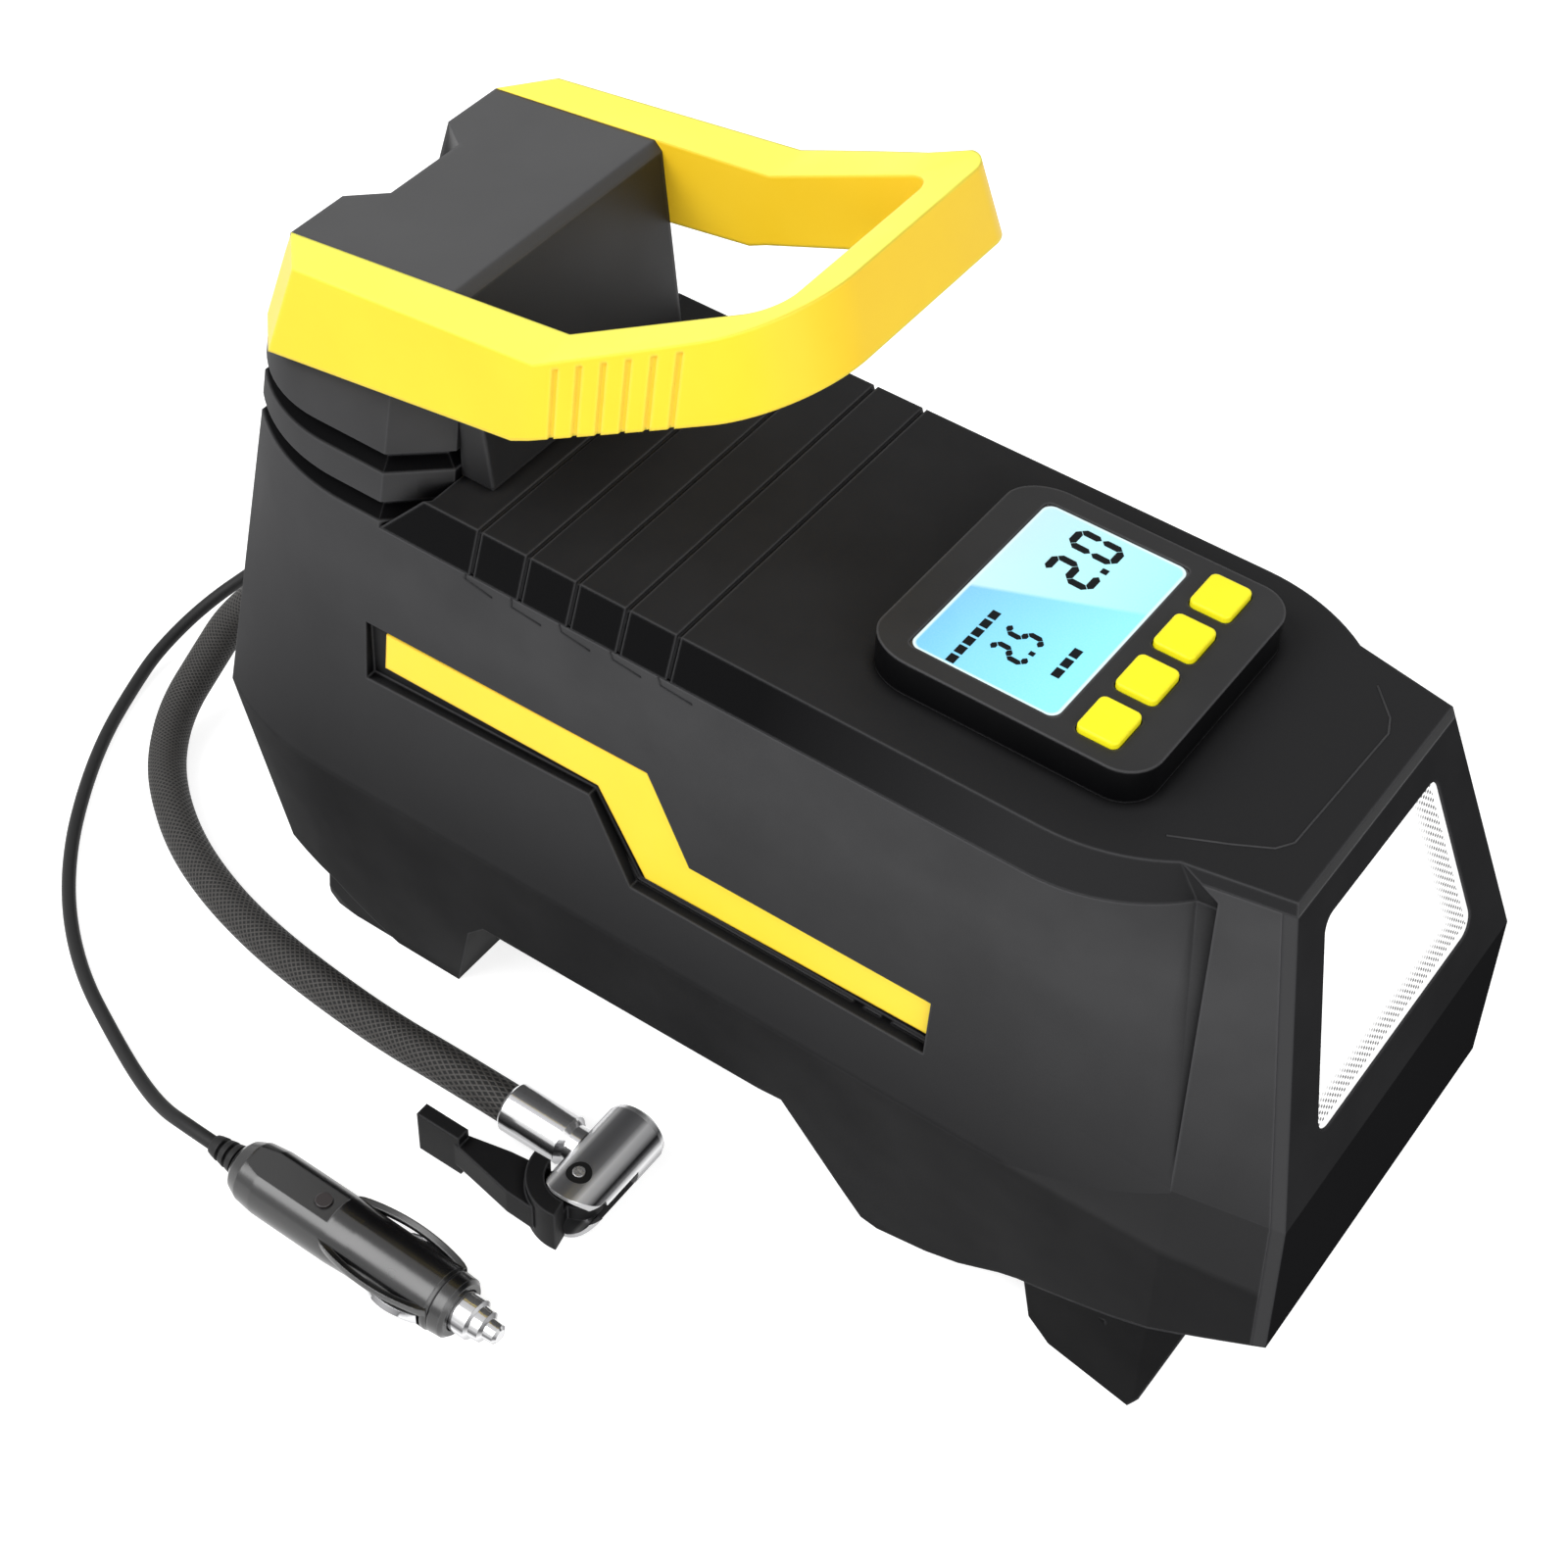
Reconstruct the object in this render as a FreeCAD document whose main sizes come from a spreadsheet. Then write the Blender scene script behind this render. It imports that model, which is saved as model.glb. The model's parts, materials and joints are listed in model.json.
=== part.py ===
import FreeCAD, Part
import Sketcher
import math
import os
import re
from FreeCAD import Placement, Rotation, Vector

# Portable tire inflator, millimetres. X points to the lamp, Z up, feet on Z = 0.
# The right side is the one with negative Y.

doc = FreeCAD.newDocument("TireInflator")
sheet = doc.addObject("Spreadsheet::Sheet", "Sizes")

sizes = {
    # body: levels, half widths and wall
    "creaseHeight": 68.5, "headCrease": 92.6, "rimHeight": 151, "deckTop": 161,
    "halfWidth": 53, "rimHalf": 48, "soleHalf": 41.6, "shoulderHalf": 52.6, "wall": 2.8,
    # body: rear corner on the sole, crease and rim
    "rearSole": 130.2, "rearCrease": 143.2, "rearRim": 130.6,
    "rearSoleHalf": 38.8, "rearCreaseHalf": 43.5, "rearRimHalf": 35.4,
    "turnSole": 100, "turnCrease": 107.5, "turnRim": 95.5,
    # body: front corner, where the side turns in to the lamp head
    "bendCrease": 80, "bendRim": 74, "neckCrease": 113, "neckRim": 103.5,
    "neckRimHalf": 34.2, "tipCrease": 119.5, "tipRim": 112, "neckFoot": 118.3, "footFront": 46.9,
    # underside
    "lipHeight": 16, "lipFront": 117, "lipLow": 12, "legBack": 98.5, "legFront": 79,
    "archBack": 64.5, "archTop": 35, "archFront": 22, "archFrontTop": 38,
    "keelBack": 42, "keelDrop": 1.5, "keelFront": 60, "chinBack": 85, "chinBackTop": 20,
    "chinTop": 51.5,
    # lamp head and lamp
    "frontTop": 122.1, "frontCrease": 141.7, "frontFoot": 143.8,
    "frontTopHalf": 31.9, "frontHalf": 50, "bezelThick": 3,
    "lensTop": 11.3, "lensBottom": 59.5, "lensTopHalf": 23.2, "lensBottomHalf": 34.6,
    "lensThick": 2.4, "lensFit": 0.15, "reflectorDepth": 12, "ledThick": 1.6,
    # pedestal under the handle
    "pedestalFront": 75.5, "pedestalCorner": 86.5, "pedestalTopHalf": 39.3,
    "pedestalRear": 125.1, "pedestalRearHalf": 32.4, "pedestalTurn": 117,
    "pedestalFrontHalf": 37, "pedestalTopFront": 31, "pedestalTop": 190,
    "seatSlope": 0.16,
    "bellowsDepth": 3.2, "bellowsRim": 0.6, "bellowsHalf": 2.8, "bellowsUpper": 166, "bellowsLower": 154.7,
    # block and handle
    "blockHalf": 33, "blockRear": 118.1, "blockRearLow": 125, "blockFront": 73,
    "blockFoot": 67, "blockRearTop": 203.4, "blockFrontTop": 208.7, "notchHalf": 17, "notchInner": 11, "notchDepth": 8,
    "limbHalf": 45.7, "limbRearHalf": 44.2, "limbRear": 118.5, "limbRearLow": 125.4,
    "limbTurn": 109,
    "kinkTop": 45.7, "kinkTopHeight": 212.2, "kinkLow": 50, "kinkLowHeight": 192.6,
    "gripFrontLow": 10.8, "gripFront": 5.6, "gripHalf": 34.7, "gripInner": 2.3,
    "gripInnerHalf": 26.7, "gripTop": 238.9, "gripLow": 222.6, "handleDraft": 0.12,
    "gripRadius": 24, "gripInnerRadius": 8, "ribPitch": 5.1, "ribWidth": 1.3, "ribDepth": 0.7,
    "ribFirst": 15.3, "ribEnd": 1.8,
    # deck cover
    "deckWall": 3, "deckRear": 75.2, "deckEnd": 76.5, "deckTopHalf": 44.4,
    "deckNeck": 99.5, "deckNeckHalf": 36.2, "grooveWidth": 1.1, "grooveDepth": 0.8,
    "groovePitch": 12.7, "grooveFirst": 10.5,
    # inlays in the side panels
    "inlayFloor": 47.9, "inlayFace": 49.6, "inlayFit": 0.2,
    # display and buttons
    "displayRear": 26, "displayLength": 61, "displayHalf": 31, "displayHeight": 8.5,
    "displayCorner": 8, "displayWall": 2.2, "windowRear": 31, "windowLength": 34,
    "windowHalf": 26.2, "windowThick": 1.2, "windowFit": 0.1,
    "buttonPlace": 73.9, "buttonPitch": 14.4, "buttonFirst": -21.3, "buttonLong": 9.3,
    "buttonWide": 10.5, "buttonProud": 1.5, "buttonFit": 0.25, "buttonFlange": 0.8,
    "boardThick": 1.6,
    # feet
    "skidRear": 87, "skidHeel": 94.5, "skidToe": 117, "skidFront": 127, "tabRear": 120.5,
    "tabHeight": 8,
    # motor
    "motorHeight": 80, "motorRadius": 22, "canRear": 26, "canFront": 42, "canWall": 1.5,
    "capRear": 34, "shaftRadius": 1.6, "shaftFit": 0.03, "armatureRadius": 15,
    "fanRear": 44, "fanThick": 7, "fanRadius": 19,
    # gear train and crank
    "gearModule": 1, "pinionTeeth": 9, "gearTeeth": 45, "pressureAngle": 25,
    "gearRear": 48, "gearThick": 7, "frameThick": 4, "frameHalf": 22, "axleRadius": 4,
    "axleFit": 0.03, "crankThrow": 9, "crankPinRadius": 3, "crankPinEnd": 61.6,
    # piston and cylinder
    "pistonPlace": 65.5, "boreRadius": 12, "rodThick": 7, "rodLength": 52,
    "pistonThick": 6, "pistonFit": 0.4, "sealThick": 1.6, "sealFit": 0.04,
    "barrelRadius": 14.5, "finRadius": 18.4, "finThick": 1.4, "finPitch": 4.4,
    "barrelBase": 89, "barrelTop": 125, "valveThick": 1.5, "headThick": 12,
    # hose, cord and inner lines
    "hoseRadius": 5, "cordRadius": 1.8, "glandHeight": 42, "glandFace": 143.8, "hoseGlandSide": 12,
    "cordGlandSide": 28, "hoseGlandEnd": 155, "cordGlandEnd": 160, "airTubeRadius": 3,
    "wireRadius": 1.6,
    # chuck
    "ferruleRear": 40, "ferruleSide": 68.5, "ferruleRadius": 6.3, "chuckCentre": 12,
    "chuckHeight": 8.1, "chuckRadius": 8, "chuckSheet": 1.2, "chuckNear": 86.5,
    "chuckFar": 55, "valveBore": 4.1, "leverPinSide": 78.5, "leverPinRadius": 1.5,
    "leverFit": 0.3,
    # accessory plug
    "plugRear": 88, "plugSide": 118.5, "plugHeight": 8.4, "plugTurn": -0.6,
    "plugGripRadius": 8.3, "plugBarrelRadius": 8, "plugTipRadius": 5,
    "plugTipTravel": 2.5, "contactTravel": 1.2, "contactWide": 4, "plugFit": 0.3,
}

for row, (alias, value) in enumerate(sizes.items(), start=1):
    sheet.set(f"A{row}", alias)
    sheet.set(f"B{row}", str(value))
    sheet.setAlias(f"B{row}", alias)
doc.recompute()

words = re.compile(r"\b(" + "|".join(sorted(sizes, key=len, reverse=True)) + r")\b")


def size(expression):
    value = sheet.evalExpression(str(expression))
    return float(getattr(value, "Value", value))


def bind(owner, path, expression):
    owner.setExpression(path, words.sub(r"Sizes.\1", str(expression)))


# Sketches. A corner is (x, y), or (x, y, r) where an arc of radius r leads to the next
# corner, with its centre on the left of the way round.

planes = {"XY": "XY_Plane", "XZ": "XZ_Plane", "YZ": "YZ_Plane"}


def blank_sketch(body, name, plane, lift="0"):
    sketch = body.newObject("Sketcher::SketchObject", name)
    base = [item for item in body.Origin.OriginFeatures if item.Role == planes[plane]][0]
    sketch.AttachmentSupport = [(base, "")]
    sketch.MapMode = "FlatFace"
    bind(sketch, "AttachmentOffset.Base.z", lift)
    return sketch


def edge_between(start, end, radius):
    if radius is None:
        return Part.LineSegment(start, end)
    along = end - start
    half = along.Length / 2
    left = Vector(-along.y, along.x, 0).normalize()
    centre = (start + end) * 0.5 + left * math.sqrt(max(radius * radius - half * half, 0))
    first = math.atan2(start.y - centre.y, start.x - centre.x)
    last = math.atan2(end.y - centre.y, end.x - centre.x)
    return Part.ArcOfCircle(Part.Circle(centre, Vector(0, 0, 1), radius), first, last)


def outline(body, name, plane, corners, lift="0"):
    sketch = blank_sketch(body, name, plane, lift)
    points = [Vector(size(corner[0]), size(corner[1]), 0) for corner in corners]
    count = len(points)
    for index, corner in enumerate(corners):
        radius = size(corner[2]) if len(corner) > 2 else None
        sketch.addGeometry(edge_between(points[index], points[(index + 1) % count], radius))
    for index, corner in enumerate(corners):
        sketch.addConstraint(
            Sketcher.Constraint("Coincident", index, 2, (index + 1) % count, 1))
        held = [("X", "DistanceX", points[index].x, corner[0]),
                ("Y", "DistanceY", points[index].y, corner[1])]
        for mark, kind, value, expression in held:
            number = sketch.addConstraint(Sketcher.Constraint(kind, -1, 1, index, 1, value))
            sketch.renameConstraint(number, f"{mark}{index}")
            bind(sketch, f"Constraints.{mark}{index}", expression)
        if len(corner) > 2:
            number = sketch.addConstraint(
                Sketcher.Constraint("Radius", index, size(corner[2])))
            sketch.renameConstraint(number, f"R{index}")
            bind(sketch, f"Constraints.R{index}", corner[2])
    return sketch


# Features


def new_body(label):
    body = doc.addObject("PartDesign::Body", label)
    body.Label = label
    return body


def pad(body, sketch, length, midplane=False):
    feature = body.newObject("PartDesign::Pad", sketch.Name + "Pad")
    feature.Profile = sketch
    feature.Midplane = midplane
    bind(feature, "Length", length)
    body.Tip = feature
    return feature


def loft(body, name, plane, sections):
    sketches = [outline(body, f"{name}{index}", plane, corners, lift)
                for index, (lift, corners) in enumerate(sections)]
    doc.recompute()
    feature = body.newObject("PartDesign::AdditiveLoft", name + "Loft")
    feature.Profile = sketches[0]
    feature.Sections = sketches[1:]
    feature.Ruled = True
    body.Tip = feature
    doc.recompute()
    return feature


def soften(body, radius, wanted):
    # rounds the edges of the body's last feature for which wanted(edge) holds
    doc.recompute()
    names = [f"Edge{number}" for number, edge in enumerate(body.Shape.Edges, start=1)
             if wanted(edge)]
    if not names:
        raise RuntimeError(f"{body.Label} has no edge to round")
    base = body.Tip
    feature = body.newObject("PartDesign::Fillet", f"{body.Name}Round")
    feature.Base = (base, names)
    bind(feature, "Radius", radius)
    body.Tip = feature
    doc.recompute()
    return feature


def plate(label, plane, corners, low, thickness, midplane=False):
    body = new_body(label)
    pad(body, outline(body, label + "Outline", plane, corners, low), thickness, midplane)
    return body


def turned(label, corners):
    # corners are (along X, radius), turned about the body's own X axis
    body = new_body(label)
    sketch = outline(body, label + "Profile", "XZ", corners)
    doc.recompute()
    feature = body.newObject("PartDesign::Revolution", label + "Turned")
    feature.Profile = sketch
    feature.ReferenceAxis = (sketch, ["H_Axis"])
    feature.Angle = 360
    body.Tip = feature
    return body


def put(item, place, turn=None):
    item.Placement = Placement(Vector(*[size(value) for value in place]), turn or Rotation())
    for axis, value in zip("xyz", place):
        bind(item, f"Placement.Base.{axis}", value)
    return item


def rectangle(x0, y0, x1, y1):
    return [(x0, y0), (x1, y0), (x1, y1), (x0, y1)]


def ring_profile(start, end, inner, outer):
    return [(start, inner), (end, inner), (end, outer), (start, outer)]


def cut(label, base, *tools):
    result = base
    for number, tool in enumerate(tools):
        last = number == len(tools) - 1
        feature = doc.addObject("Part::Cut", label if last else f"{label}Cut{number}")
        feature.Base = result
        feature.Tool = tool
        result = feature
    result.Label = label
    return result


def fuse(label, *pieces):
    feature = doc.addObject("Part::MultiFuse", label)
    feature.Shapes = list(pieces)
    feature.Refine = True
    feature.Label = label
    return feature


def common(label, *pieces):
    feature = doc.addObject("Part::MultiCommon", label)
    feature.Shapes = list(pieces)
    feature.Label = label
    return feature


def box(label, x0, y0, z0, x1, y1, z1):
    item = doc.addObject("Part::Box", label)
    item.Label = label
    for side, low, high in (("Length", x0, x1), ("Width", y0, y1), ("Height", z0, z1)):
        bind(item, side, f"({high}) - ({low})")
    return put(item, (x0, y0, z0))


def rod(label, place, radius, height, turn=None):
    item = doc.addObject("Part::Cylinder", label)
    item.Label = label
    bind(item, "Radius", radius)
    bind(item, "Height", height)
    return put(item, place, turn)


def solid(label, shape):
    item = doc.addObject("Part::Feature", label)
    item.Shape = shape
    item.Label = label
    return item


def clone(label, base, place, turn=None):
    item = doc.addObject("App::Link", label)
    item.LinkedObject = base
    item.Label = label
    return put(item, place, turn)


to_x = Rotation(Vector(0, 1, 0), 90)
to_y = Rotation(Vector(1, 0, 0), -90)
rod_to_z = Rotation(Vector(0, 1, 0), -90)
rod_to_y = Rotation(Vector(0, 0, 1), 90)

# Shells: levels of the plan outline, the shoulder below the lamp head and the lamp head


def around(half):
    # half is the left side from rear to front; the right side mirrors it
    arcs = [corner[2:] for corner in half]
    path = [(corner[0], f"-({corner[1]})") + arc for corner, arc in zip(half, arcs)]
    for index in reversed(range(len(half))):
        arc = arcs[index - 1] if index else ()
        path.append(half[index][:2] + arc)
    return path


def tangent_arc(run, rise):
    return f"((({run}) ^ 2 + ({rise}) ^ 2) / (2 * ({rise})))"


def facet(x, z):
    slide = "(deckNeckHalf - frontTopHalf) / (frontTop - deckNeck)"
    fall = f"(frontHalf - frontTopHalf + {slide} * (frontCrease - frontTop))"
    return (f"(deckNeckHalf - {slide} * ({x} - deckNeck)"
            f" + {fall} / (deckTop - headCrease) * (deckTop - {z}))")


def on_line(low, low_at, high, high_at, at):
    return f"({low} + ({high} - {low}) * (({at}) - {low_at}) / ({high_at} - {low_at}))"


def skirt(label, inset):
    body = new_body(label)
    top = "(pedestalTop + 5)"

    def at(low, high):
        return on_line(low, "0", high, "creaseHeight", top)

    def level(rear, rear_half, turn, half, neck_half, tip_half):
        arc = tangent_arc(f"{rear} - {turn}", f"{half} - {rear_half}")
        return around([
            (f"-({rear} - {inset})", f"{rear_half} - {inset}", arc),
            (f"-({turn})", f"{half} - {inset}"),
            ("bendCrease", f"{half} - {inset}"),
            ("neckFoot", f"{neck_half} - {inset}"),
            ("frontFoot + 8", f"{tip_half} - {inset}"),
        ])

    def flare(x):
        return f"(footFront + ({facet(x, 'headCrease')} - footFront) * {top} / headCrease)"

    loft(body, label + "Sides", "XY", [
        ("0", level("rearSole", "rearSoleHalf", "turnSole", "soleHalf",
                    "footFront", "footFront")),
        (top, level(at("rearSole", "rearCrease"), at("rearSoleHalf", "rearCreaseHalf"),
                    at("turnSole", "turnCrease"), at("soleHalf", "halfWidth"),
                    flare("neckFoot"), flare("(frontFoot + 8)"))),
    ])
    return body


def panels(label, inset):
    body = new_body(label)

    def level(z, bend, neck, neck_half, tip, tip_half, front_arc=()):
        def at(low, high):
            return on_line(low, "creaseHeight", high, "rimHeight", z)

        rear = at("rearCrease", "rearRim")
        rear_half = at("rearCreaseHalf", "rearRimHalf")
        turn = at("turnCrease", "turnRim")
        half = at("halfWidth", "rimHalf")
        arc = tangent_arc(f"{rear} - {turn}", f"{half} - {rear_half}")
        return (z, around([
            (f"-({rear} - {inset})", f"{rear_half} - {inset}", arc),
            (f"-({turn})", f"{half} - {inset}"),
            (bend, f"{half} - {inset}") + front_arc,
            (neck, f"{neck_half} - {inset}"),
            (tip, f"{tip_half} - {inset}"),
        ]))

    lean = "(halfWidth - rimHalf) / (rimHeight - creaseHeight)"
    front = f"({facet('neckFoot', 'headCrease')} - 0.15)"
    foot = f"({front} + headCrease * {lean})"
    rim_arc = tangent_arc("neckRim - bendRim", "rimHalf - neckRimHalf")
    loft(body, label + "Sides", "XY", [
        level("0", "bendCrease", "neckFoot", foot, "neckFoot + 3", f"{foot} - 1"),
        level("headCrease", "bendCrease", "neckFoot", front, "neckFoot + 3", f"{front} - 1"),
        level("rimHeight", "bendRim", "neckRim", "neckRimHalf", "tipRim",
              "neckRimHalf - 1", (rim_arc,)),
    ])
    return body


def wedge(low, low_half, high, high_half, inset):
    return [(f"-({low_half} - {inset})", low), (f"{low_half} - {inset}", low),
            (f"{high_half} - {inset}", high), (f"-({high_half} - {inset})", high)]


def head(label, inset, floor):
    solid_body = new_body(label + "Solid")
    top = f"deckTop - {inset}"
    loft(solid_body, label + "Wedge", "YZ", [
        ("deckNeck - 4", wedge(floor, facet("(deckNeck - 4)", floor), "deckTop",
                               facet("(deckNeck - 4)", "deckTop"), inset)),
        ("frontFoot + 8", wedge(floor, facet("(frontFoot + 8)", floor), "deckTop",
                                facet("(frontFoot + 8)", "deckTop"), inset)),
    ])
    side = plate(label + "Side", "XZ", [
        (f"neckFoot + {inset}", floor),
        ("frontFoot + 8", floor),
        ("frontFoot + 8", top),
        (f"deckNeck + {inset}", top),
        (f"neckFoot - 9.9 + {inset}", f"deckTop - 5.5 - {inset} * 0.5"),
        (f"neckFoot + {inset}", "headCrease"),
    ], "0", "3 * halfWidth", midplane=True)
    return common(label, solid_body, side)


def pedestal_level(height, inset):
    share = f"(({height} - rimHeight) / (pedestalTop - rimHeight))"

    def at(low, high):
        return f"({low} + ({high} - {low}) * {share})"

    rear = at("rearRim", "pedestalRear")
    rear_half = at("rearRimHalf", "pedestalRearHalf")
    turn = at("turnRim", "pedestalTurn")
    half = at("rimHalf", "pedestalTopHalf")
    arc = tangent_arc(f"{rear} - {turn}", f"{half} - {rear_half}")
    return around([
        (f"-({rear} - {inset})", f"{rear_half} - {inset}", arc),
        (f"-({turn})", f"{half} - {inset}"),
        (f"-(pedestalCorner + 0.414 * {inset})", f"{half} - {inset}"),
        (f"-(pedestalFront + {inset})",
         f"{at('pedestalFrontHalf', 'pedestalTopFront')} - 0.414 * {inset}"),
    ])


def pedestal(label, inset):
    body = new_body(label)
    loft(body, label + "Walls", "XY", [("rimHeight", pedestal_level("rimHeight", inset)),
                                       ("pedestalTop", pedestal_level("pedestalTop", inset))])
    return body


def bellows(label, middle):
    low = f"({middle} - bellowsHalf)"
    high = f"({middle} + bellowsHalf)"
    neck = new_body(label + "Neck")
    loft(neck, label + "Waist", "XY", [(low, pedestal_level(low, "(-bellowsRim)")),
                                       (middle, pedestal_level(middle, "bellowsDepth")),
                                       (high, pedestal_level(high, "(-bellowsRim)"))])
    slab = box(label + "Slab", "-rearCrease - 10", "-rimHalf - 10", low,
               "-pedestalFront + 10", "rimHalf + 10", high)
    return cut(label, slab, neck)


def seat(back):
    # height of the plane that the handle and its block stand on
    return f"(kinkLowHeight - seatSlope * ({back} - kinkLow))"


def side_profile(label, inset, front, front_top, deck_level):
    # x, z and how far the inner line moves in from the outer one
    under = [("-rearCrease - 9", "lipHeight + 2", 0, 1), ("-lipFront - 16", "lipHeight", 0, 1),
             ("-lipFront", "lipLow", 0.3, 1), ("-legBack", "0", 0.3, 1),
             ("-legFront", "0", -0.75, 1), ("-archBack - 6", "archTop - 7", -0.9, 0.3),
             ("-archBack", "archTop", -0.5, 1), ("archFront - 6.5", "archTop + 2", 0, 1),
             ("archFront", "archFrontTop", 0.6, 0.8),
             ("keelBack - 10", "keelDrop + 18.5", 0.9, 0.5),
             ("keelBack - 5", "keelDrop + 9.5", 0.9, 0.5),
             ("keelBack", "keelDrop + 1", 0.7, 0.9), ("keelBack + 4.5", "keelDrop", 0.2, 1),
             ("keelFront", "keelDrop + 3.5", -0.3, 1), ("keelFront + 9", "9", -0.4, 1),
             ("chinBack", "chinBackTop", -0.5, 1), ("chinBack + 24", "32", -0.5, 1)]
    corners = [(f"{x} + {dx} * {inset}", f"{z} + {dz} * {inset}") for x, z, dx, dz in under]
    corners += [
        (f"frontFoot - {front}", f"chinTop - 0.56 * {front} + 0.6 * {inset}"),
        (f"frontCrease - {front}", "headCrease"),
        (f"frontTop - {front} + (deckTop - ({front_top})) * 0.286", front_top),
        (f"neckFoot - 9.9 - 6 + {inset}", front_top),
        (f"neckFoot - 9.9 - 6 + {inset}", deck_level),
        (f"-pedestalFront - {inset}", deck_level),
        (f"-pedestalFront - {inset}", f"{seat('pedestalFront')} - {inset}"),
        ("-rearCrease - 9", f"{seat('(rearCrease + 9)')} - {inset}"),
    ]
    return plate(label, "XZ", corners, "0", "3 * halfWidth", midplane=True)


head_form = head("headForm", "0", "0")
outer_form = common("outerForm", skirt("outerSkirt", "0"),
                    fuse("outerUpper", panels("outerPanels", "0"), head_form,
                         pedestal("outerPedestal", "0")))
inner_form = common("innerForm", skirt("innerSkirt", "wall"),
                    fuse("innerUpper", panels("innerPanels", "wall"),
                         head("innerHead", "wall", "0"),
                         pedestal("innerPedestal", "(wall + bellowsDepth)")))
outer_side = side_profile("outerSide", "0", "bezelThick", "deckTop - deckWall", "rimHeight")
inner_side = side_profile("innerSide", "wall", "(bezelThick - 4)",
                          "deckTop - deckWall - wall", "rimHeight + 1")
outer_case = common("outerCase", outer_form, outer_side)
inner_case = common("innerCase", inner_form, inner_side)

# Shells: backing behind the inlays, screw bosses, ribs, vents and the seam

nodes = {}
inlay_edge = [("-91", "122.3"), ("-91.5", "105.5"), ("-29.3", "107.8"), ("-17.4", "87.1"),
              ("58.6", "87.3"), ("58.6", "103"), ("-2.4", "102.8"), ("-14.4", "123.3")]
backing_edge = [("-95", "126"), ("-95", "102"), ("-31", "104"), ("-19", "83.5"),
                ("62", "83.5"), ("62", "106.5"), ("0", "106.5"), ("-12", "127")]
inlay_form = [("-86.5", "110.7"), ("-27.5", "111"), ("-14.9", "89.7"), ("57.9", "91"),
              ("58.4", "102.8"), ("-2.5", "102.6"), ("-14.5", "123.1"), ("-85.3", "121.6")]
screw_places = [(-120, 62), (-104, 146), (-58, 49), (22, 49), (100, 54), (97, 139)]
bosses = [rod(f"boss{n}", (str(x), "-1.2 * halfWidth", str(z)), "5.6", "2.4 * halfWidth", to_y)
          for n, (x, z) in enumerate(screw_places)]
ribs = []
for side in (-1, 1):
    for n, (low, high) in enumerate((("canFront - 3", "canFront"),
                                     ("canFront + frameThick", "canFront + frameThick + 3"))):
        edges = ("halfWidth * 0.77", "halfWidth * 1.2")
        y0, y1 = edges if side > 0 else (f"-{edges[1]}", f"-{edges[0]}")
        ribs.append(box(f"rib{side + 1}{n}", low, y0, "62", high, y1, "98"))
inside = common("insideForms", outer_case, fuse("bossesAndRibs", *bosses, *ribs))
backing_right = plate("backingRight", "XZ", backing_edge, "inlayFloor - 2.6", "3.4")
backing_left = plate("backingLeft", "XZ", backing_edge, "-inlayFloor - 0.8", "3.4")
case = fuse("caseWalls", cut("caseHollow", outer_case, inner_case), inside,
            backing_right, backing_left)
recess_right = plate("recessRight", "XZ", inlay_edge, "inlayFloor", "10")
recess_left = plate("recessLeft", "XZ", inlay_edge, "-inlayFloor - 10", "10")
screw_bores = fuse("screwBores", *[
    rod(f"bore{n}{part}", (str(x), low, str(z)), radius, length, to_y)
    for n, (x, z) in enumerate(screw_places)
    for part, low, radius, length in (("shank", "-32", "1.6", "80"), ("head", "38", "3.8", "30"))])
vents = fuse("vents", *[
    box(f"vent{n}", "-rearCrease - 10", "-17", f"{88 + 6 * n}", "-rearRim + 6", "17",
        f"{90.6 + 6 * n}") for n in range(5)])
hose_hole = rod("hoseHole", ("-rearCrease - 10", "hoseGlandSide", "glandHeight"), "7", "30", to_x)
cord_hole = rod("cordHole", ("-rearCrease - 10", "cordGlandSide", "glandHeight"), "5", "30", to_x)
pad_rear = [box(f"padRear{side}", "-legBack + 3", f"{18 * side - 12}", "0", "-legFront - 3",
                f"{18 * side + 12}", "1.2") for side in (-1, 1)]
finished = cut("caseFinished", case, bellows("upperBellows", "bellowsUpper"),
               bellows("lowerBellows", "bellowsLower"), recess_right, recess_left,
               screw_bores, vents, hose_hole, cord_hole, *pad_rear)
nodes["left_shell"] = common("left_shell", finished, box(
    "leftHalf", "-rearCrease - 20", "0", "-5", "frontFoot + 20", "2 * halfWidth", "220"))
nodes["right_shell"] = common("right_shell", finished, box(
    "rightHalf", "-rearCrease - 20", "-2 * halfWidth", "-5", "frontFoot + 20", "0", "220"))
nodes["stripe_right"] = plate("stripe_right", "XZ", inlay_form, "inlayFloor",
                              "inlayFace - inlayFloor")
nodes["stripe_left"] = plate("stripe_left", "XZ", inlay_form, "-inlayFace",
                             "inlayFace - inlayFloor")
screws = []
for n, (x, z) in enumerate(screw_places):
    screws.append(rod(f"screwShank{n}", (str(x), "-31", str(z)), "1.58", "70", to_y))
    screws.append(rod(f"screwHead{n}", (str(x), "38.02", str(z)), "3.5", "2.4", to_y))
nodes["case_screws"] = fuse("case_screws", *screws)

# Feet

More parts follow.
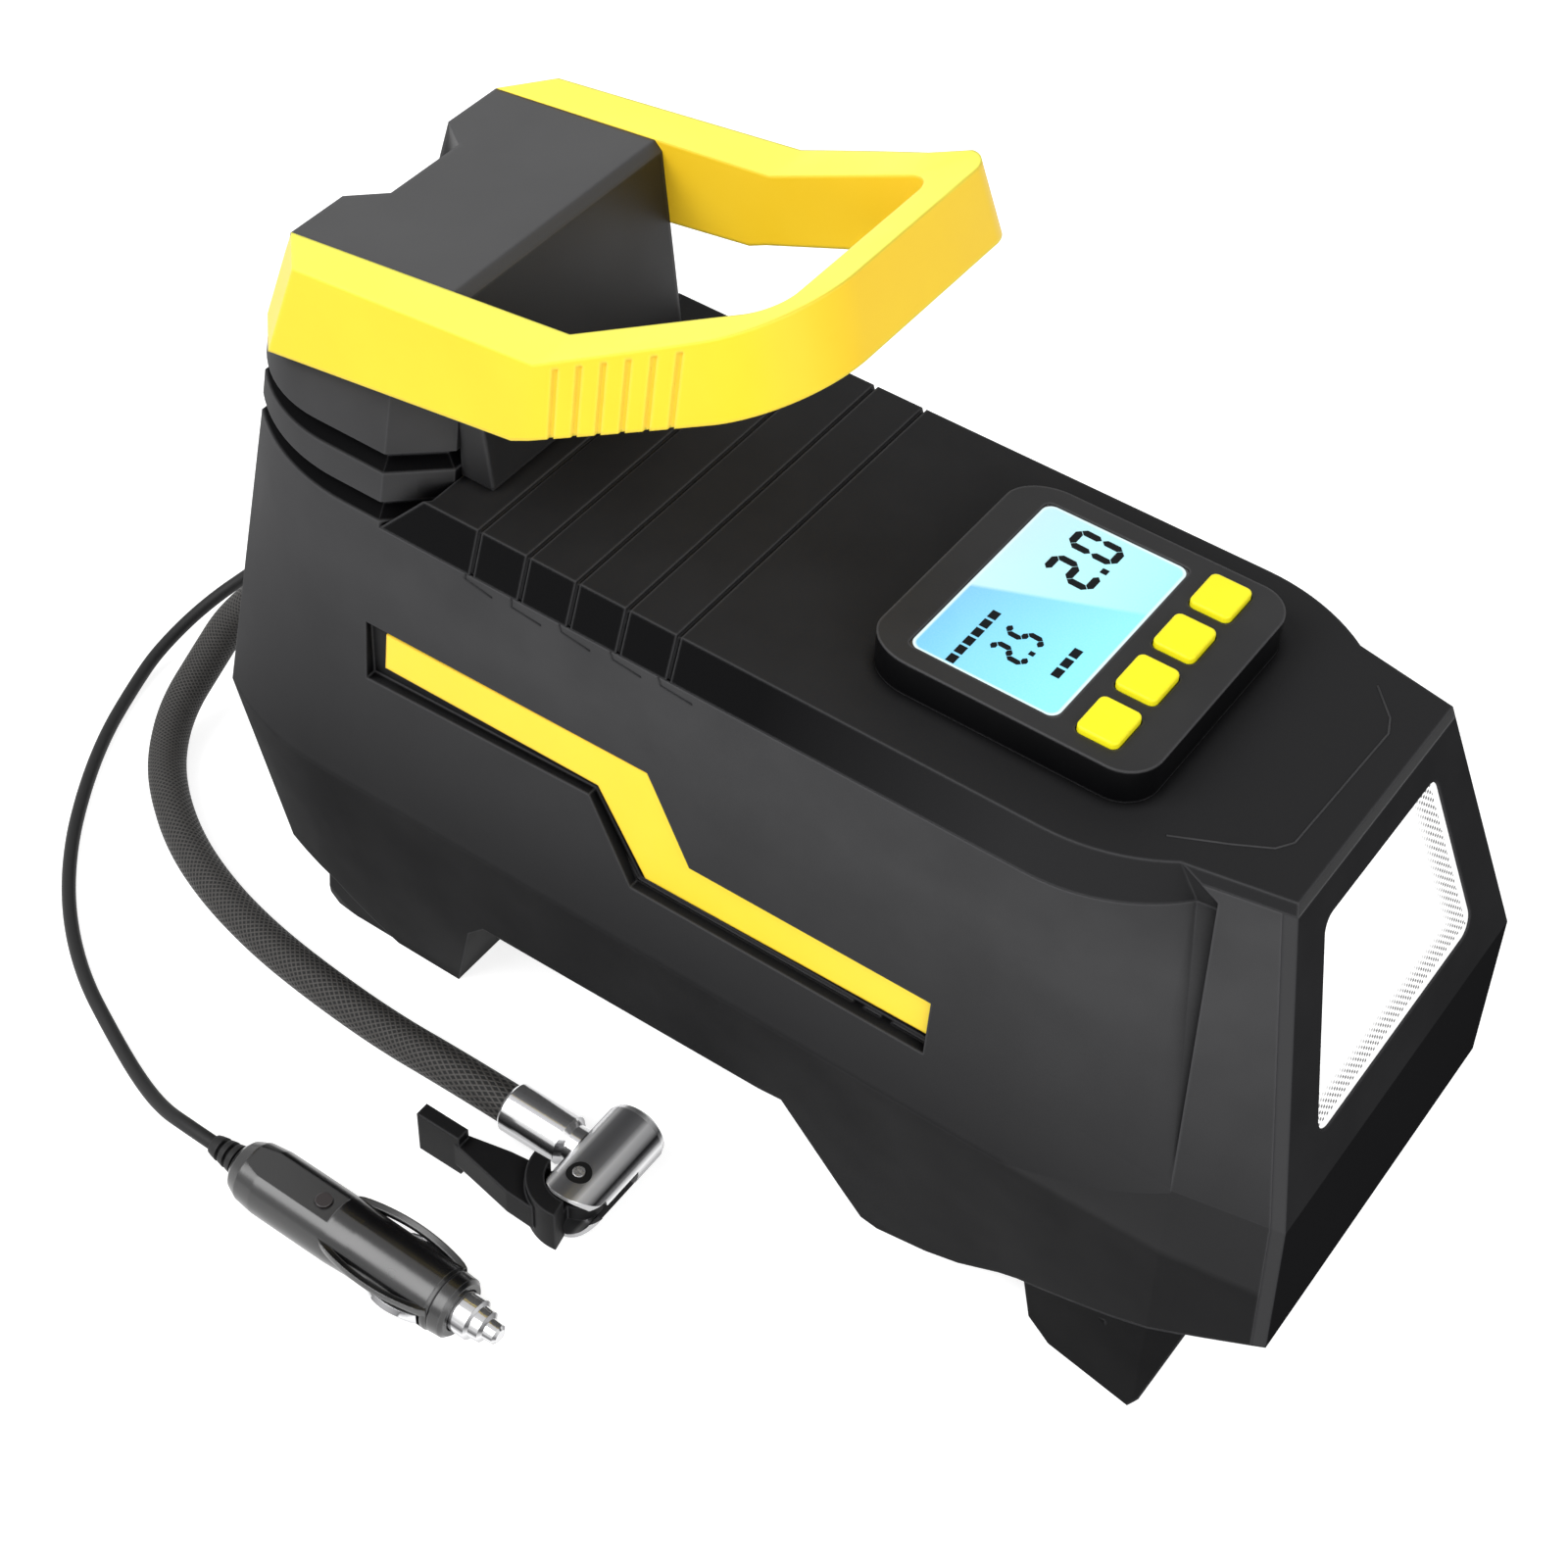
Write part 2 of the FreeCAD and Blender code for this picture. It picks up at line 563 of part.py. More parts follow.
outer_skirt = doc.getObjectsByLabel("outerSkirt")[0]
skid_side = plate("skidSide", "XZ", [
    ("skidRear", "chinBackTop + (skidRear - chinBack) / 2"),
    ("skidRear + 1.6", "6"),
    ("skidHeel", "0"),
    ("skidToe", "0"),
    ("skidToe + 2.5", "6"),
    ("skidFront", "chinTop - (frontFoot - skidFront) * 0.56"),
    ("chinBack + 24", "32"),
], "0", "3 * halfWidth", midplane=True)
skid_panel = [("91", "20.5"), ("91.8", "8.5"), ("109.5", "9.5"), ("108.5", "29")]
panel_cuts = [plate("skidPanelRight", "XZ", skid_panel, "footFront + 1.4", "10"),
              plate("skidPanelLeft", "XZ", skid_panel, "-footFront - 11.4", "10")]
pad_front = [box(f"padFront{side}", "skidHeel + 4", f"{25 * side - 13}", "0", "skidToe - 3",
                 f"{25 * side + 13}", "1.2") for side in (-1, 1)]
nodes["front_skid"] = cut("front_skid", common("skidForm", outer_skirt, skid_side),
                          *panel_cuts, *pad_front)
tab_side = plate("tabSide", "XZ", [
    ("-tabRear", "lipLow + (tabRear - lipFront) / 4"),
    ("-tabRear - 1", "3"),
    ("-tabRear + 1.5", "0"),
    ("-legBack", "0"),
    ("-lipFront", "lipLow"),
], "0", "2 * soleHalf - 1", midplane=True)
nodes["rear_skid"] = common("rear_skid", outer_skirt, tab_side)
nodes["rubber_pads"] = fuse("rubber_pads", *pad_rear, *pad_front)

# Bezel and lamp, the lamp in the tilted frame of the upper facet

tilt = "-atan((frontCrease - frontTop) / (deckTop - headCrease))"


def on_facet(item):
    put(item, ("frontTop", "0", "deckTop"), Rotation(Vector(0, 1, 0), size(tilt)))
    bind(item, "Placement.Rotation.Angle", tilt)
    return item


def trapezoid(grow, scale="1"):
    top = f"(lensTopHalf + {grow}) * {scale}"
    low = f"(lensBottomHalf + {grow}) * {scale}"
    middle = "((lensTop + lensBottom) / 2)"
    rise = f"((lensBottom - lensTop) / 2 + {grow}) * {scale}"
    return [(f"-{low}", f"-{middle} - {rise}"), (low, f"-{middle} - {rise}"),
            (top, f"-{middle} + {rise}"), (f"-{top}", f"-{middle} + {rise}")]


def along_x(edge):
    start, end = edge.Vertexes[0].Point, edge.Vertexes[-1].Point
    return abs(start.x - end.x) > 0.9 * edge.Length


def along_z(edge):
    start, end = edge.Vertexes[0].Point, edge.Vertexes[-1].Point
    return abs(start.z - end.z) > 0.9 * edge.Length


bezel_side = plate("bezelSide", "XZ", [
    ("frontFoot - bezelThick", "chinTop - 0.56 * bezelThick"),
    ("frontFoot", "chinTop"),
    ("frontCrease", "headCrease"),
    ("frontTop + deckWall * 0.286", "deckTop - deckWall"),
    ("frontTop + deckWall * 0.286 - bezelThick", "deckTop - deckWall"),
    ("frontCrease - bezelThick", "headCrease"),
], "0", "3 * halfWidth", midplane=True)
lens_hole = plate("lensHole", "YZ", trapezoid("lensFit"), "-8", "14")
soften(lens_hole, "4 + lensFit", along_x)
on_facet(lens_hole)
nodes["front_bezel"] = cut("front_bezel", common("bezelForm", outer_form, bezel_side), lens_hole)
lens = plate("lamp_lens", "YZ", trapezoid("0"), "-0.5 - lensThick", "lensThick")
soften(lens, "4", along_x)
nodes["lamp_lens"] = on_facet(lens)
back = "(-0.5 - lensThick - reflectorDepth)"
bowl = new_body("reflectorBowl")
loft(bowl, "reflectorOuter", "YZ", [(back, trapezoid("1.6", "0.8")),
                                    ("-0.5 - lensThick", trapezoid("1.6"))])
hollow = new_body("reflectorHollow")
loft(hollow, "reflectorInner", "YZ", [(f"{back} - 0.1", trapezoid("0", "0.78")),
                                      ("-0.4 - lensThick", trapezoid("0"))])
nodes["lamp_reflector"] = cut("lamp_reflector", on_facet(bowl), on_facet(hollow))
led_plate = on_facet(plate("ledPlate", "YZ", trapezoid("1.6", "0.8"), f"{back} - ledThick",
                           "ledThick"))
leds = []
for row in range(3):
    for column in range(4):
        y = (column - 1.5) * (11 + 2 * row)
        z = f"-(lensTop + lensBottom) / 2 + {13 - 13 * row}"
        leds.append(on_facet(plate(f"led{row}{column}", "YZ", rectangle(
            f"{y - 1.8}", f"{z} - 1.8", f"{y + 1.8}", f"{z} + 1.8"), back, "0.9")))
nodes["led_board"] = fuse("led_board", led_plate, *leds)

# Deck cover


def deck_band(label, inset):
    low_arc = tangent_arc("neckRim - bendRim", "rimHalf - neckRimHalf")
    high_arc = tangent_arc("deckNeck - bendRim", "deckTopHalf - deckNeckHalf")
    body = new_body(label)
    loft(body, label + "Band", "XY", [
        ("rimHeight", around([
            (f"-(deckRear - {inset})", f"pedestalFrontHalf - 0.4 * {inset}"),
            (f"-(pedestalCorner - 0.3 - 0.6 * {inset})", f"rimHalf - {inset}"),
            ("bendRim", f"rimHalf - {inset}", low_arc),
            ("neckRim", f"neckRimHalf - {inset}"),
            ("tipRim", f"neckRimHalf - 1 - {inset}")])),
        ("deckTop", around([
            (f"-(deckRear - {inset})", f"deckTopHalf - deckEnd + deckRear - 0.4 * {inset}"),
            (f"-(deckEnd - {inset})", f"deckTopHalf - {inset}"),
            ("bendRim", f"deckTopHalf - {inset}", high_arc),
            ("deckNeck", f"deckNeckHalf - {inset}"),
            ("tipRim", f"{facet('tipRim', 'deckTop')} - {inset}")])),
    ])
    return body


def lower_than(label, item, height):
    return common(label, item, box(label + "Slab", "-rearCrease", "-2 * halfWidth",
                                   "rimHeight - 5", "frontFoot", "2 * halfWidth", height))


front_plate = plate("frontPlateSide", "XZ", [
    ("deckNeck - 3", "deckTop - deckWall"),
    ("frontTop + deckWall * 0.286", "deckTop - deckWall"),
    ("frontTop", "deckTop"),
    ("deckNeck - 3", "deckTop"),
], "0", "3 * halfWidth", midplane=True)
deck_outer = fuse("deckOuter", cut("deckBand", deck_band("bandOuter", "0"), head_form),
                  common("frontPlate", head_form, front_plate))
deck_room = lower_than("deckRoom", deck_band("bandInner", "deckWall"), "deckTop - deckWall")
groove_floor = lower_than("grooveFloor", deck_band("bandGroove", "grooveDepth"),
                          "deckTop - grooveDepth")
groove_slabs = fuse("grooveSlabs", *[
    box(f"groove{n}", f"-grooveFirst - {n} * groovePitch - grooveWidth / 2", "-rimHalf - 5",
        "rimHeight - 1", f"-grooveFirst - {n} * groovePitch + grooveWidth / 2", "rimHalf + 5",
        "deckTop + 1") for n in range(5)])
deck_opening = box("deckOpening", "displayRear + 7", "-24", "deckTop - 5",
                   "displayRear + displayLength - 7", "24", "deckTop + 1")
nodes["top_deck"] = cut("top_deck", deck_outer, deck_room,
                        cut("grooves", groove_slabs, groove_floor), deck_opening)

# Display, buttons and the boards under them

display_top = "deckTop + displayHeight"
housing = plate("housingForm", "XY", rectangle(
    "displayRear", "-displayHalf", "displayRear + displayLength", "displayHalf"),
    "deckTop", "displayHeight")
soften(housing, "displayCorner", along_z)
housing_room = plate("housingRoom", "XY", rectangle(
    "displayRear + displayWall", "-displayHalf + displayWall",
    "displayRear + displayLength - displayWall", "displayHalf - displayWall"),
    "deckTop - 1", "displayHeight + 1 - displayWall")
soften(housing_room, "displayCorner - displayWall", along_z)
window_hole = plate("windowHole", "XY", rectangle(
    "windowRear", "-windowHalf", "windowRear + windowLength", "windowHalf"),
    f"{display_top} - displayWall - 1", "displayWall + 3")
soften(window_hole, "1.5", along_z)


def button_form(label, place, grow, low, high, radius):
    body = plate(label, "XY", rectangle(
        f"buttonPlace - buttonLong / 2 - {grow}", f"{place} - buttonWide / 2 - {grow}",
        f"buttonPlace + buttonLong / 2 + {grow}", f"{place} + buttonWide / 2 + {grow}"),
        low, f"{high} - ({low})")
    soften(body, radius, along_z)
    return body


button_holes = []
for n in range(4):
    place = f"(buttonFirst + {n} * buttonPitch)"
    button_holes.append(button_form(f"buttonHole{n + 1}", place, "buttonFit",
                                    f"{display_top} - displayWall - 1", f"{display_top} + 1",
                                    "1.5 + buttonFit"))
    stem = button_form(f"buttonStem{n + 1}", place, "0", f"{display_top} - displayWall - 2.4",
                       f"{display_top} + buttonProud", "1.5")
    soften(stem, "0.6", lambda edge: min(v.Z for v in edge.Vertexes)
           > size(f"{display_top} + buttonProud") - 0.01)
    flange = button_form(f"buttonFlange{n + 1}", place, "buttonFlange",
                         f"{display_top} - displayWall - 0.2 - buttonFlange",
                         f"({display_top} - displayWall - 0.2)", "1")
    nodes[f"button_{n + 1}"] = fuse(f"button_{n + 1}", stem, flange)
nodes["display_housing"] = cut("display_housing", housing, housing_room, window_hole,
                               *button_holes)
window = plate("display_window", "XY", rectangle(
    "windowRear + windowFit", "-windowHalf + windowFit",
    "windowRear + windowLength - windowFit", "windowHalf - windowFit"),
    f"{display_top} - windowThick - 0.3", "windowThick")
soften(window, "1.5 - windowFit", along_z)
nodes["display_window"] = window
nodes["lcd_panel"] = box("lcd_panel", "windowRear + 1", "-24", "deckTop + boardThick",
                         "windowRear + windowLength - 1", "24",
                         f"{display_top} - windowThick - 0.3")
switches = [box(f"switch{n}", "buttonPlace - 2", f"buttonFirst + {n} * buttonPitch - 2",
                "deckTop + boardThick", "buttonPlace + 2",
                f"buttonFirst + {n} * buttonPitch + 2", "deckTop + boardThick + 0.9")
            for n in range(4)]
nodes["control_board"] = fuse("control_board", box(
    "boardPlate", "displayRear + 4", "-25.5", "deckTop", "displayRear + displayLength - 3",
    "25.5", "deckTop + boardThick"), *switches)

# Handle and its block

block_side = plate("blockSide", "XZ", [
    ("-blockRearLow", seat("blockRearLow")),
    ("-pedestalFront", seat("pedestalFront")),
    ("-pedestalFront", "deckTop"),
    ("-blockFoot", "deckTop"),
    ("-blockFront", "blockFrontTop - 2.2"),
    ("-blockFront - 2", "blockFrontTop - 0.24"),
    ("-blockRear", "blockRearTop"),
], "0", "2 * blockHalf", midplane=True)
notch = plate("notch", "XY", [
    ("-blockRearLow - 1", "-notchHalf"), ("-blockRear", "-notchHalf"),
    ("-blockRear + notchDepth", "-notchInner"), ("-blockRear + notchDepth", "notchInner"),
    ("-blockRear", "notchHalf"), ("-blockRearLow - 1", "notchHalf"),
], "blockRearTop - 12", "30")
nodes["handle_block"] = cut("handle_block", block_side, notch)


def handle_form(label, inset):
    def level(z):
        def half(value, middle):
            return f"{value} + handleDraft * ({middle} - {z}) - {inset}"

        kink = half("limbHalf", "202.4")
        corner = half("gripHalf - 0.7", "235")
        slope = f"atan(({kink} - ({corner})) / (kinkTop + gripFront))"
        trim = f"(gripRadius * tan((90 deg - {slope}) / 2))"
        lean = f"(limbRearLow - limbRear) / (blockRearTop - {seat('limbRearLow')})"
        back = f"{lean} * (blockRearTop - {z})"
        front = on_line("gripFrontLow", "gripLow", "gripFront", "gripTop", z)
        return (z, around([
            (f"-limbRear - {back}", half("blockHalf + 0.5", "194")),
            (f"-limbTurn - {back}", half("limbRearHalf", "194.5")),
            ("-kinkTop", kink),
            (f"{front} - {trim} * cos({slope})", f"{corner} + {trim} * sin({slope})",
             "gripRadius"),
            (front, f"{corner} - {trim}"),
        ]))

    body = new_body(label)
    loft(body, label + "Walls", "XY", [level("180"), level("255")])
    return body


handle_side = plate("handleSide", "XZ", [
    ("-limbRear - 8", seat("(limbRear + 8)")),
    ("-kinkLow", "kinkLowHeight"),
    ("gripFrontLow + 4", on_line("kinkLowHeight", "-kinkLow", "gripLow", "gripFrontLow",
                                 "(gripFrontLow + 4)")),
    ("gripFront + 4", on_line("kinkTopHeight", "-kinkTop", "gripTop", "gripFront",
                              "(gripFront + 4)")),
    ("-kinkTop", "kinkTopHeight"),
    ("-limbRear - 8", "kinkTopHeight - 0.119 * (limbRear + 8 - kinkTop)"),
], "0", "3 * halfWidth", midplane=True)
hand_room = plate("handRoom", "XY", [
    ("-limbRear - 8", "-blockHalf"), ("-kinkTop", "-blockHalf"),
    ("-gripInner", "-gripInnerHalf"), ("-gripInner", "gripInnerHalf"),
    ("-kinkTop", "blockHalf"), ("-limbRear - 8", "blockHalf"),
], "170", "100")
soften(hand_room, "gripInnerRadius", lambda edge: along_z(edge) and edge.Vertexes[0].X
       > -size("gripInner") - 0.1)
rib_floor = handle_form("ribFloor", "ribDepth")


def rib_slab(n):
    rear = f"-ribFirst - {n} * ribPitch - ribWidth / 2"
    ends = [on_line("kinkTopHeight", "-kinkTop", "gripTop", "gripFront", x)
            for x in (rear, f"({rear} + ribWidth)")]
    return plate(f"ribSlab{n}", "XZ", [
        (rear, "kinkLowHeight"), (f"{rear} + ribWidth", "kinkLowHeight"),
        (f"{rear} + ribWidth", f"{ends[1]} - ribEnd"), (rear, f"{ends[0]} - ribEnd"),
    ], "0", "3 * halfWidth", midplane=True)


rib_slabs = fuse("ribSlabs", *[rib_slab(n) for n in range(6)])
nodes["handle_loop"] = cut("handle_loop", common("handleBent", handle_form("handleForm", "0"),
                                                 handle_side),
                           hand_room, cut("ribGrooves", rib_slabs, rib_floor))

# Motor


def on_axis(item, height):
    return put(item, ("0", "0", height))


nodes["motor_can"] = on_axis(turned("motor_can", [
    ("-canRear", "motorRadius - canWall"), ("canFront - 2", "motorRadius - canWall"),
    ("canFront - 2", "shaftRadius + shaftFit"), ("canFront", "shaftRadius + shaftFit"),
    ("canFront", "motorRadius - 1.2"), ("canFront - 1.2", "motorRadius"),
    ("-canRear", "motorRadius")]), "motorHeight")
nodes["motor_end_cap"] = on_axis(turned("motor_end_cap", [
    ("-capRear", "shaftRadius + shaftFit"), ("-capRear + 4", "shaftRadius + shaftFit"),
    ("-capRear + 4", "motorRadius - canWall - 2"), ("-canRear + 3", "motorRadius - canWall - 2"),
    ("-canRear + 3", "motorRadius - canWall"), ("-canRear", "motorRadius - canWall"),
    ("-canRear", "motorRadius"), ("-capRear + 1", "motorRadius"),
    ("-capRear", "motorRadius - 1")]), "motorHeight")
nodes["motor_shaft"] = on_axis(turned("motor_shaft", [
    ("-fanRear - 1", "0"), ("gearRear + gearThick + 1.5", "0"),
    ("gearRear + gearThick + 1.5", "shaftRadius"), ("canFront - 10", "shaftRadius"),
    ("canFront - 10", "armatureRadius"), ("-canRear + 10", "armatureRadius"),
    ("-canRear + 10", "shaftRadius"), ("-fanRear - 1", "shaftRadius")]), "motorHeight")
fan = turned("cooling_fan", ring_profile("-fanRear", "-fanRear + fanThick", "shaftRadius", "5"))
blade = outline(fan, "blade", "YZ", [("4", "-1"), ("fanRadius - 0.5", "-2.6"),
                                     ("fanRadius - 0.5", "-1.2"), ("4", "1")], "-fanRear + 0.5")
blade_pad = pad(fan, blade, "fanThick - 1")
doc.recompute()
blades = fan.newObject("PartDesign::PolarPattern", "blades")
blades.Originals = [blade_pad]
blades.Axis = (blade, ["N_Axis"])
blades.Angle = 360
blades.Occurrences = 9
fan.Tip = blades
nodes["cooling_fan"] = on_axis(fan, "motorHeight")

# Gears: involute flanks, thinned for backlash, turned so that a tooth meets a gap


def gear_outline(teeth, top, root, thickness, first):
    module = size("gearModule")
    angle = math.radians(size("pressureAngle"))
    pitch = module * teeth / 2
    base = pitch * math.cos(angle)
    flat = math.tan(angle) - angle
    half = thickness / (2 * pitch) + flat

    def flank(radius):
        if radius <= base:
            return half
        at = math.acos(base / radius)
        return half - (math.tan(at) - at)

    radii = [root, max(base, root + 0.05), pitch, (pitch + top) / 2, top]
    points = []
    for tooth in range(teeth):
        middle = first + 2 * math.pi * tooth / teeth
        left = [(radius, middle - flank(radius)) for radius in radii]
        right = [(radius, middle + flank(radius)) for radius in reversed(radii)]
        points += [Vector(0, r * math.cos(a), r * math.sin(a)) for r, a in left + right]
    return Part.makePolygon(points + points[:1])


def gear(label, teeth, top, root, thickness, first, height, bore, low, high):
    face = Part.Face(gear_outline(teeth, top, root, thickness, first))
    wheel = face.extrude(Vector(high - low, 0, 0))
    wheel.translate(Vector(low, 0, 0))
    hole = Part.makeCylinder(bore, high - low + 2, Vector(low - 1, 0, 0), Vector(1, 0, 0))
    wheel = wheel.cut(hole)
    wheel.translate(Vector(0, 0, height))
    return wheel


gear_height = size("motorHeight - gearModule * (pinionTeeth + gearTeeth) / 2")
module = size("gearModule")
pinion_teeth = int(size("pinionTeeth"))
wheel_teeth = int(size("gearTeeth"))
nodes["drive_pinion"] = solid("drive_pinion", gear(
    "pinion", pinion_teeth, module * (pinion_teeth / 2 + 0.85), module * (pinion_teeth / 2 - 1.15),
    module * 1.4, -math.pi / 2, size("motorHeight"), size("shaftRadius"),
    size("gearRear - 0.5"), size("gearRear + gearThick + 1")))
wheel = gear(
    "wheel", wheel_teeth, module * (wheel_teeth / 2 + 0.7), module * (wheel_teeth / 2 - 1.2),
    module * 1.4, math.pi / 2 + math.pi / wheel_teeth, gear_height, size("axleRadius + axleFit"),
    size("gearRear"), size("gearRear + gearThick"))
weight = plate("crankWeight", "YZ", [("-12", "-17.5"), ("12", "-17.5"), ("18", "-7.5"),
                                     ("-18", "-7.5")], "gearRear + gearThick", "3.5")
put(weight, ("0", "0", "motorHeight - gearModule * (pinionTeeth + gearTeeth) / 2"))
nodes["crank_gear"] = fuse("crank_gear", solid("crankWheel", wheel), weight)
wheel_centre = "motorHeight - gearModule * (pinionTeeth + gearTeeth) / 2"
nodes["crank_pin"] = rod("crank_pin", ("gearRear + gearThick", "0",
                                       f"{wheel_centre} + crankThrow"),
                         "crankPinRadius", "crankPinEnd - gearRear - gearThick", to_x)
nodes["gear_axle"] = put(turned("gear_axle", [
    ("canFront", "0"), ("gearRear + gearThick + 1.6", "0"),
    ("gearRear + gearThick + 1.6", "axleRadius + 1.2"),
    ("gearRear + gearThick + 0.4", "axleRadius + 1.2"),
    ("gearRear + gearThick + 0.4", "axleRadius"), ("canFront", "axleRadius")]),
    ("0", "0", wheel_centre))
frame_plate = plate("framePlate", "YZ", [
    ("-12", "31"), ("12", "31"), ("24", "50"), ("inlayFloor - 2.9", "64"),
    ("inlayFloor - 2.9", "96"), ("24", "104"), ("22", "110"), ("-22", "110"),
    ("-24", "104"), ("-inlayFloor + 2.9", "96"), ("-inlayFloor + 2.9", "64"), ("-24", "50"),
], "canFront", "frameThick")
shelf = box("frameShelf", "canFront + frameThick", "-frameHalf", "barrelBase - 2.8",
            "pistonPlace + finRadius", "frameHalf", "barrelBase")
nodes["gear_frame"] = cut(
    "gear_frame", fuse("frameForm", frame_plate, shelf),
    rod("frameBore", ("canFront - 1", "0", "motorHeight"), "3", "frameThick + 2", to_x),
    rod("axleBore", ("canFront - 1", "0", wheel_centre), "axleRadius", "frameThick + 2", to_x),
    rod("shelfBore", ("pistonPlace", "0", "barrelBase - 5"), "8", "10"))

# Wobble piston, cylinder and head


def upright(item, x="pistonPlace", y="0"):
    return put(item, (x, y, "0"), rod_to_z)


rod_low = f"({wheel_centre} + crankThrow)"
big_end = rod("rodEye", ("crankPinEnd + 0.4", "0", rod_low), "7", "rodThick", to_x)
shank = box("rodShank", "crankPinEnd + 0.4", "-4.5", f"{rod_low} + 5",
            "crankPinEnd + 0.4 + rodThick", "4.5", f"{rod_low} + rodLength + 1")
piston = rod("pistonDisc", ("pistonPlace", "0", f"{rod_low} + rodLength"),
             "boreRadius - pistonFit", "pistonThick")
eye_bore = rod("rodEyeBore", ("crankPinEnd", "0", rod_low), "crankPinRadius + 0.4",
               "rodThick + 2", to_x)
nodes["piston_rod"] = cut("piston_rod", fuse("rodForm", big_end, shank, piston), eye_bore)
piston_top = f"({rod_low} + rodLength + pistonThick)"
nodes["piston_seal"] = upright(turned("piston_seal", ring_profile(
    piston_top, f"{piston_top} + sealThick", "6", "boreRadius - sealFit")))
barrel = [("barrelBase", "boreRadius"), ("barrelTop", "boreRadius"), ("barrelTop", "finRadius"),
          ("barrelTop - 2.4", "finRadius"), ("barrelTop - 2.4", "barrelRadius")]
for n in range(6):
    fin = f"barrelTop - 5.4 - {n} * finPitch"
    barrel += [(fin, "barrelRadius"), (fin, "finRadius"), (f"{fin} - finThick", "finRadius"),
               (f"{fin} - finThick", "barrelRadius")]
barrel += [("barrelBase + 2.4", "barrelRadius"), ("barrelBase + 2.4", "finRadius"),
           ("barrelBase", "finRadius")]
nodes["cylinder"] = upright(turned("cylinder", barrel))
nodes["valve_plate"] = cut("valve_plate", rod(
    "valveDisc", ("pistonPlace", "0", "barrelTop"), "finRadius", "valveThick"),
    rod("valvePortIn", ("pistonPlace + 5", "0", "barrelTop - 1"), "1.5", "4"),
    rod("valvePortOut", ("pistonPlace - 5", "0", "barrelTop - 1"), "1.5", "4"))
head_low = "(barrelTop + valveThick)"
nodes["cylinder_head"] = fuse("cylinder_head", upright(turned("headForm", [
    (head_low, "0"), (head_low, "finRadius"), (f"{head_low} + 3", "finRadius"),
    (f"{head_low} + 3", "14"), (f"{head_low} + headThick - 2", "13"),
    (f"{head_low} + headThick", "11"), (f"{head_low} + headThick", "0")])),
    rod("headOutlet", ("pistonPlace - 18.5", "0", f"{head_low} + 6.5"), "4.2", "8", to_x))
nodes["pressure_sensor"] = box("pressure_sensor", "pistonPlace - 5.5", "-5.5",
                               f"{head_low} + headThick", "pistonPlace + 5.5", "5.5",
                               f"{head_low} + headThick + 6")

# Hose, cord and inner lines: straight runs joined by tangent arcs


def line_through(label, points, radius):
    points = [Vector(*[size(value) for value in point]) for point in points]
    edges = []
    radii = []
    start = points[0]
    for before, corner, after in zip(points, points[1:], points[2:]):
        arriving = (corner - before).normalize()
        leaving = (after - corner).normalize()
        turn = arriving.getAngle(leaving)
        trim = 0.45 * min(corner.distanceToPoint(before), after.distanceToPoint(corner))
        bend = trim / math.tan(turn / 2)
        inward = (leaving - arriving).normalize()
        centre = corner + inward * (bend / math.cos(turn / 2))
        first = corner - arriving * trim
        last = corner + leaving * trim
        edges.append(Part.LineSegment(start, first).toShape())
        edges.append(Part.Arc(first, centre - inward * bend, last).toShape())
        radii.append(round(bend, 1))
        start = last
    edges.append(Part.LineSegment(start, points[-1]).toShape())
    path = Part.Wire(edges)
    along = (points[1] - points[0]).normalize()
    ring = Part.Wire([Part.Circle(points[0], along, size(radius)).toShape()])
    tube = path.makePipeShell([ring], True, False)
    expected = math.pi * size(radius) ** 2 * path.Length
    print(label, "length", round(path.Length, 1), "radii", radii,
          "volume share", round(tube.Volume / expected, 4))
    if abs(tube.Volume / expected - 1) > 0.01:
        raise RuntimeError(f"{label} has a wrong volume")
    return solid(label, tube)


hose_floor = "hoseRadius + 0.05"
nodes["air_hose"] = line_through("air_hose", [
    ("-hoseGlandEnd", "hoseGlandSide", "glandHeight"),
    ("-169.4", "hoseGlandSide", "glandHeight"), ("-182.4", "8.9", "36.2"),
    ("-190.9", "2.6", "26.3"), ("-193.6", "-6.7", "15.6"), ("-192.8", "-19.6", "9"),
    ("-186.5", "-31.5", hose_floor), ("-176", "-41.7", hose_floor),
    ("-160.6", "-51.8", hose_floor), ("-143", "-58.8", hose_floor),
    ("-124", "-63.4", hose_floor), ("-104", "-65.9", hose_floor), ("-80", "-67.4", hose_floor),
    ("-58", "-ferruleSide", "chuckHeight"), ("-ferruleRear", "-ferruleSide", "chuckHeight")],
    "hoseRadius")
cord_floor = "cordRadius + 0.05"
nodes["power_cord"] = line_through("power_cord", [
    ("-cordGlandEnd", "cordGlandSide", "glandHeight"),
    ("-176.1", "cordGlandSide", "glandHeight"), ("-191.4", "29.6", "34.4"),
    ("-202.9", "25.8", "20.7"), ("-212.8", "12.8", "10.6"), ("-215.5", "-4", "4.3"),
    ("-213", "-16.6", cord_floor), ("-206.5", "-34", cord_floor), ("-197", "-51.5", cord_floor),
    ("-185", "-69", cord_floor), ("-170", "-84.8", cord_floor), ("-152.5", "-97.4", cord_floor),
    ("-133.5", "-106.2", cord_floor), ("-119", "-112.4", "2.6"), ("-107", "-116.6", "5"),
    ("-plugRear - 8.5 * cos(plugTurn)", "-plugSide - 8.5 * sin(plugTurn)", "plugHeight"),
    ("-plugRear", "-plugSide", "plugHeight")], "cordRadius")
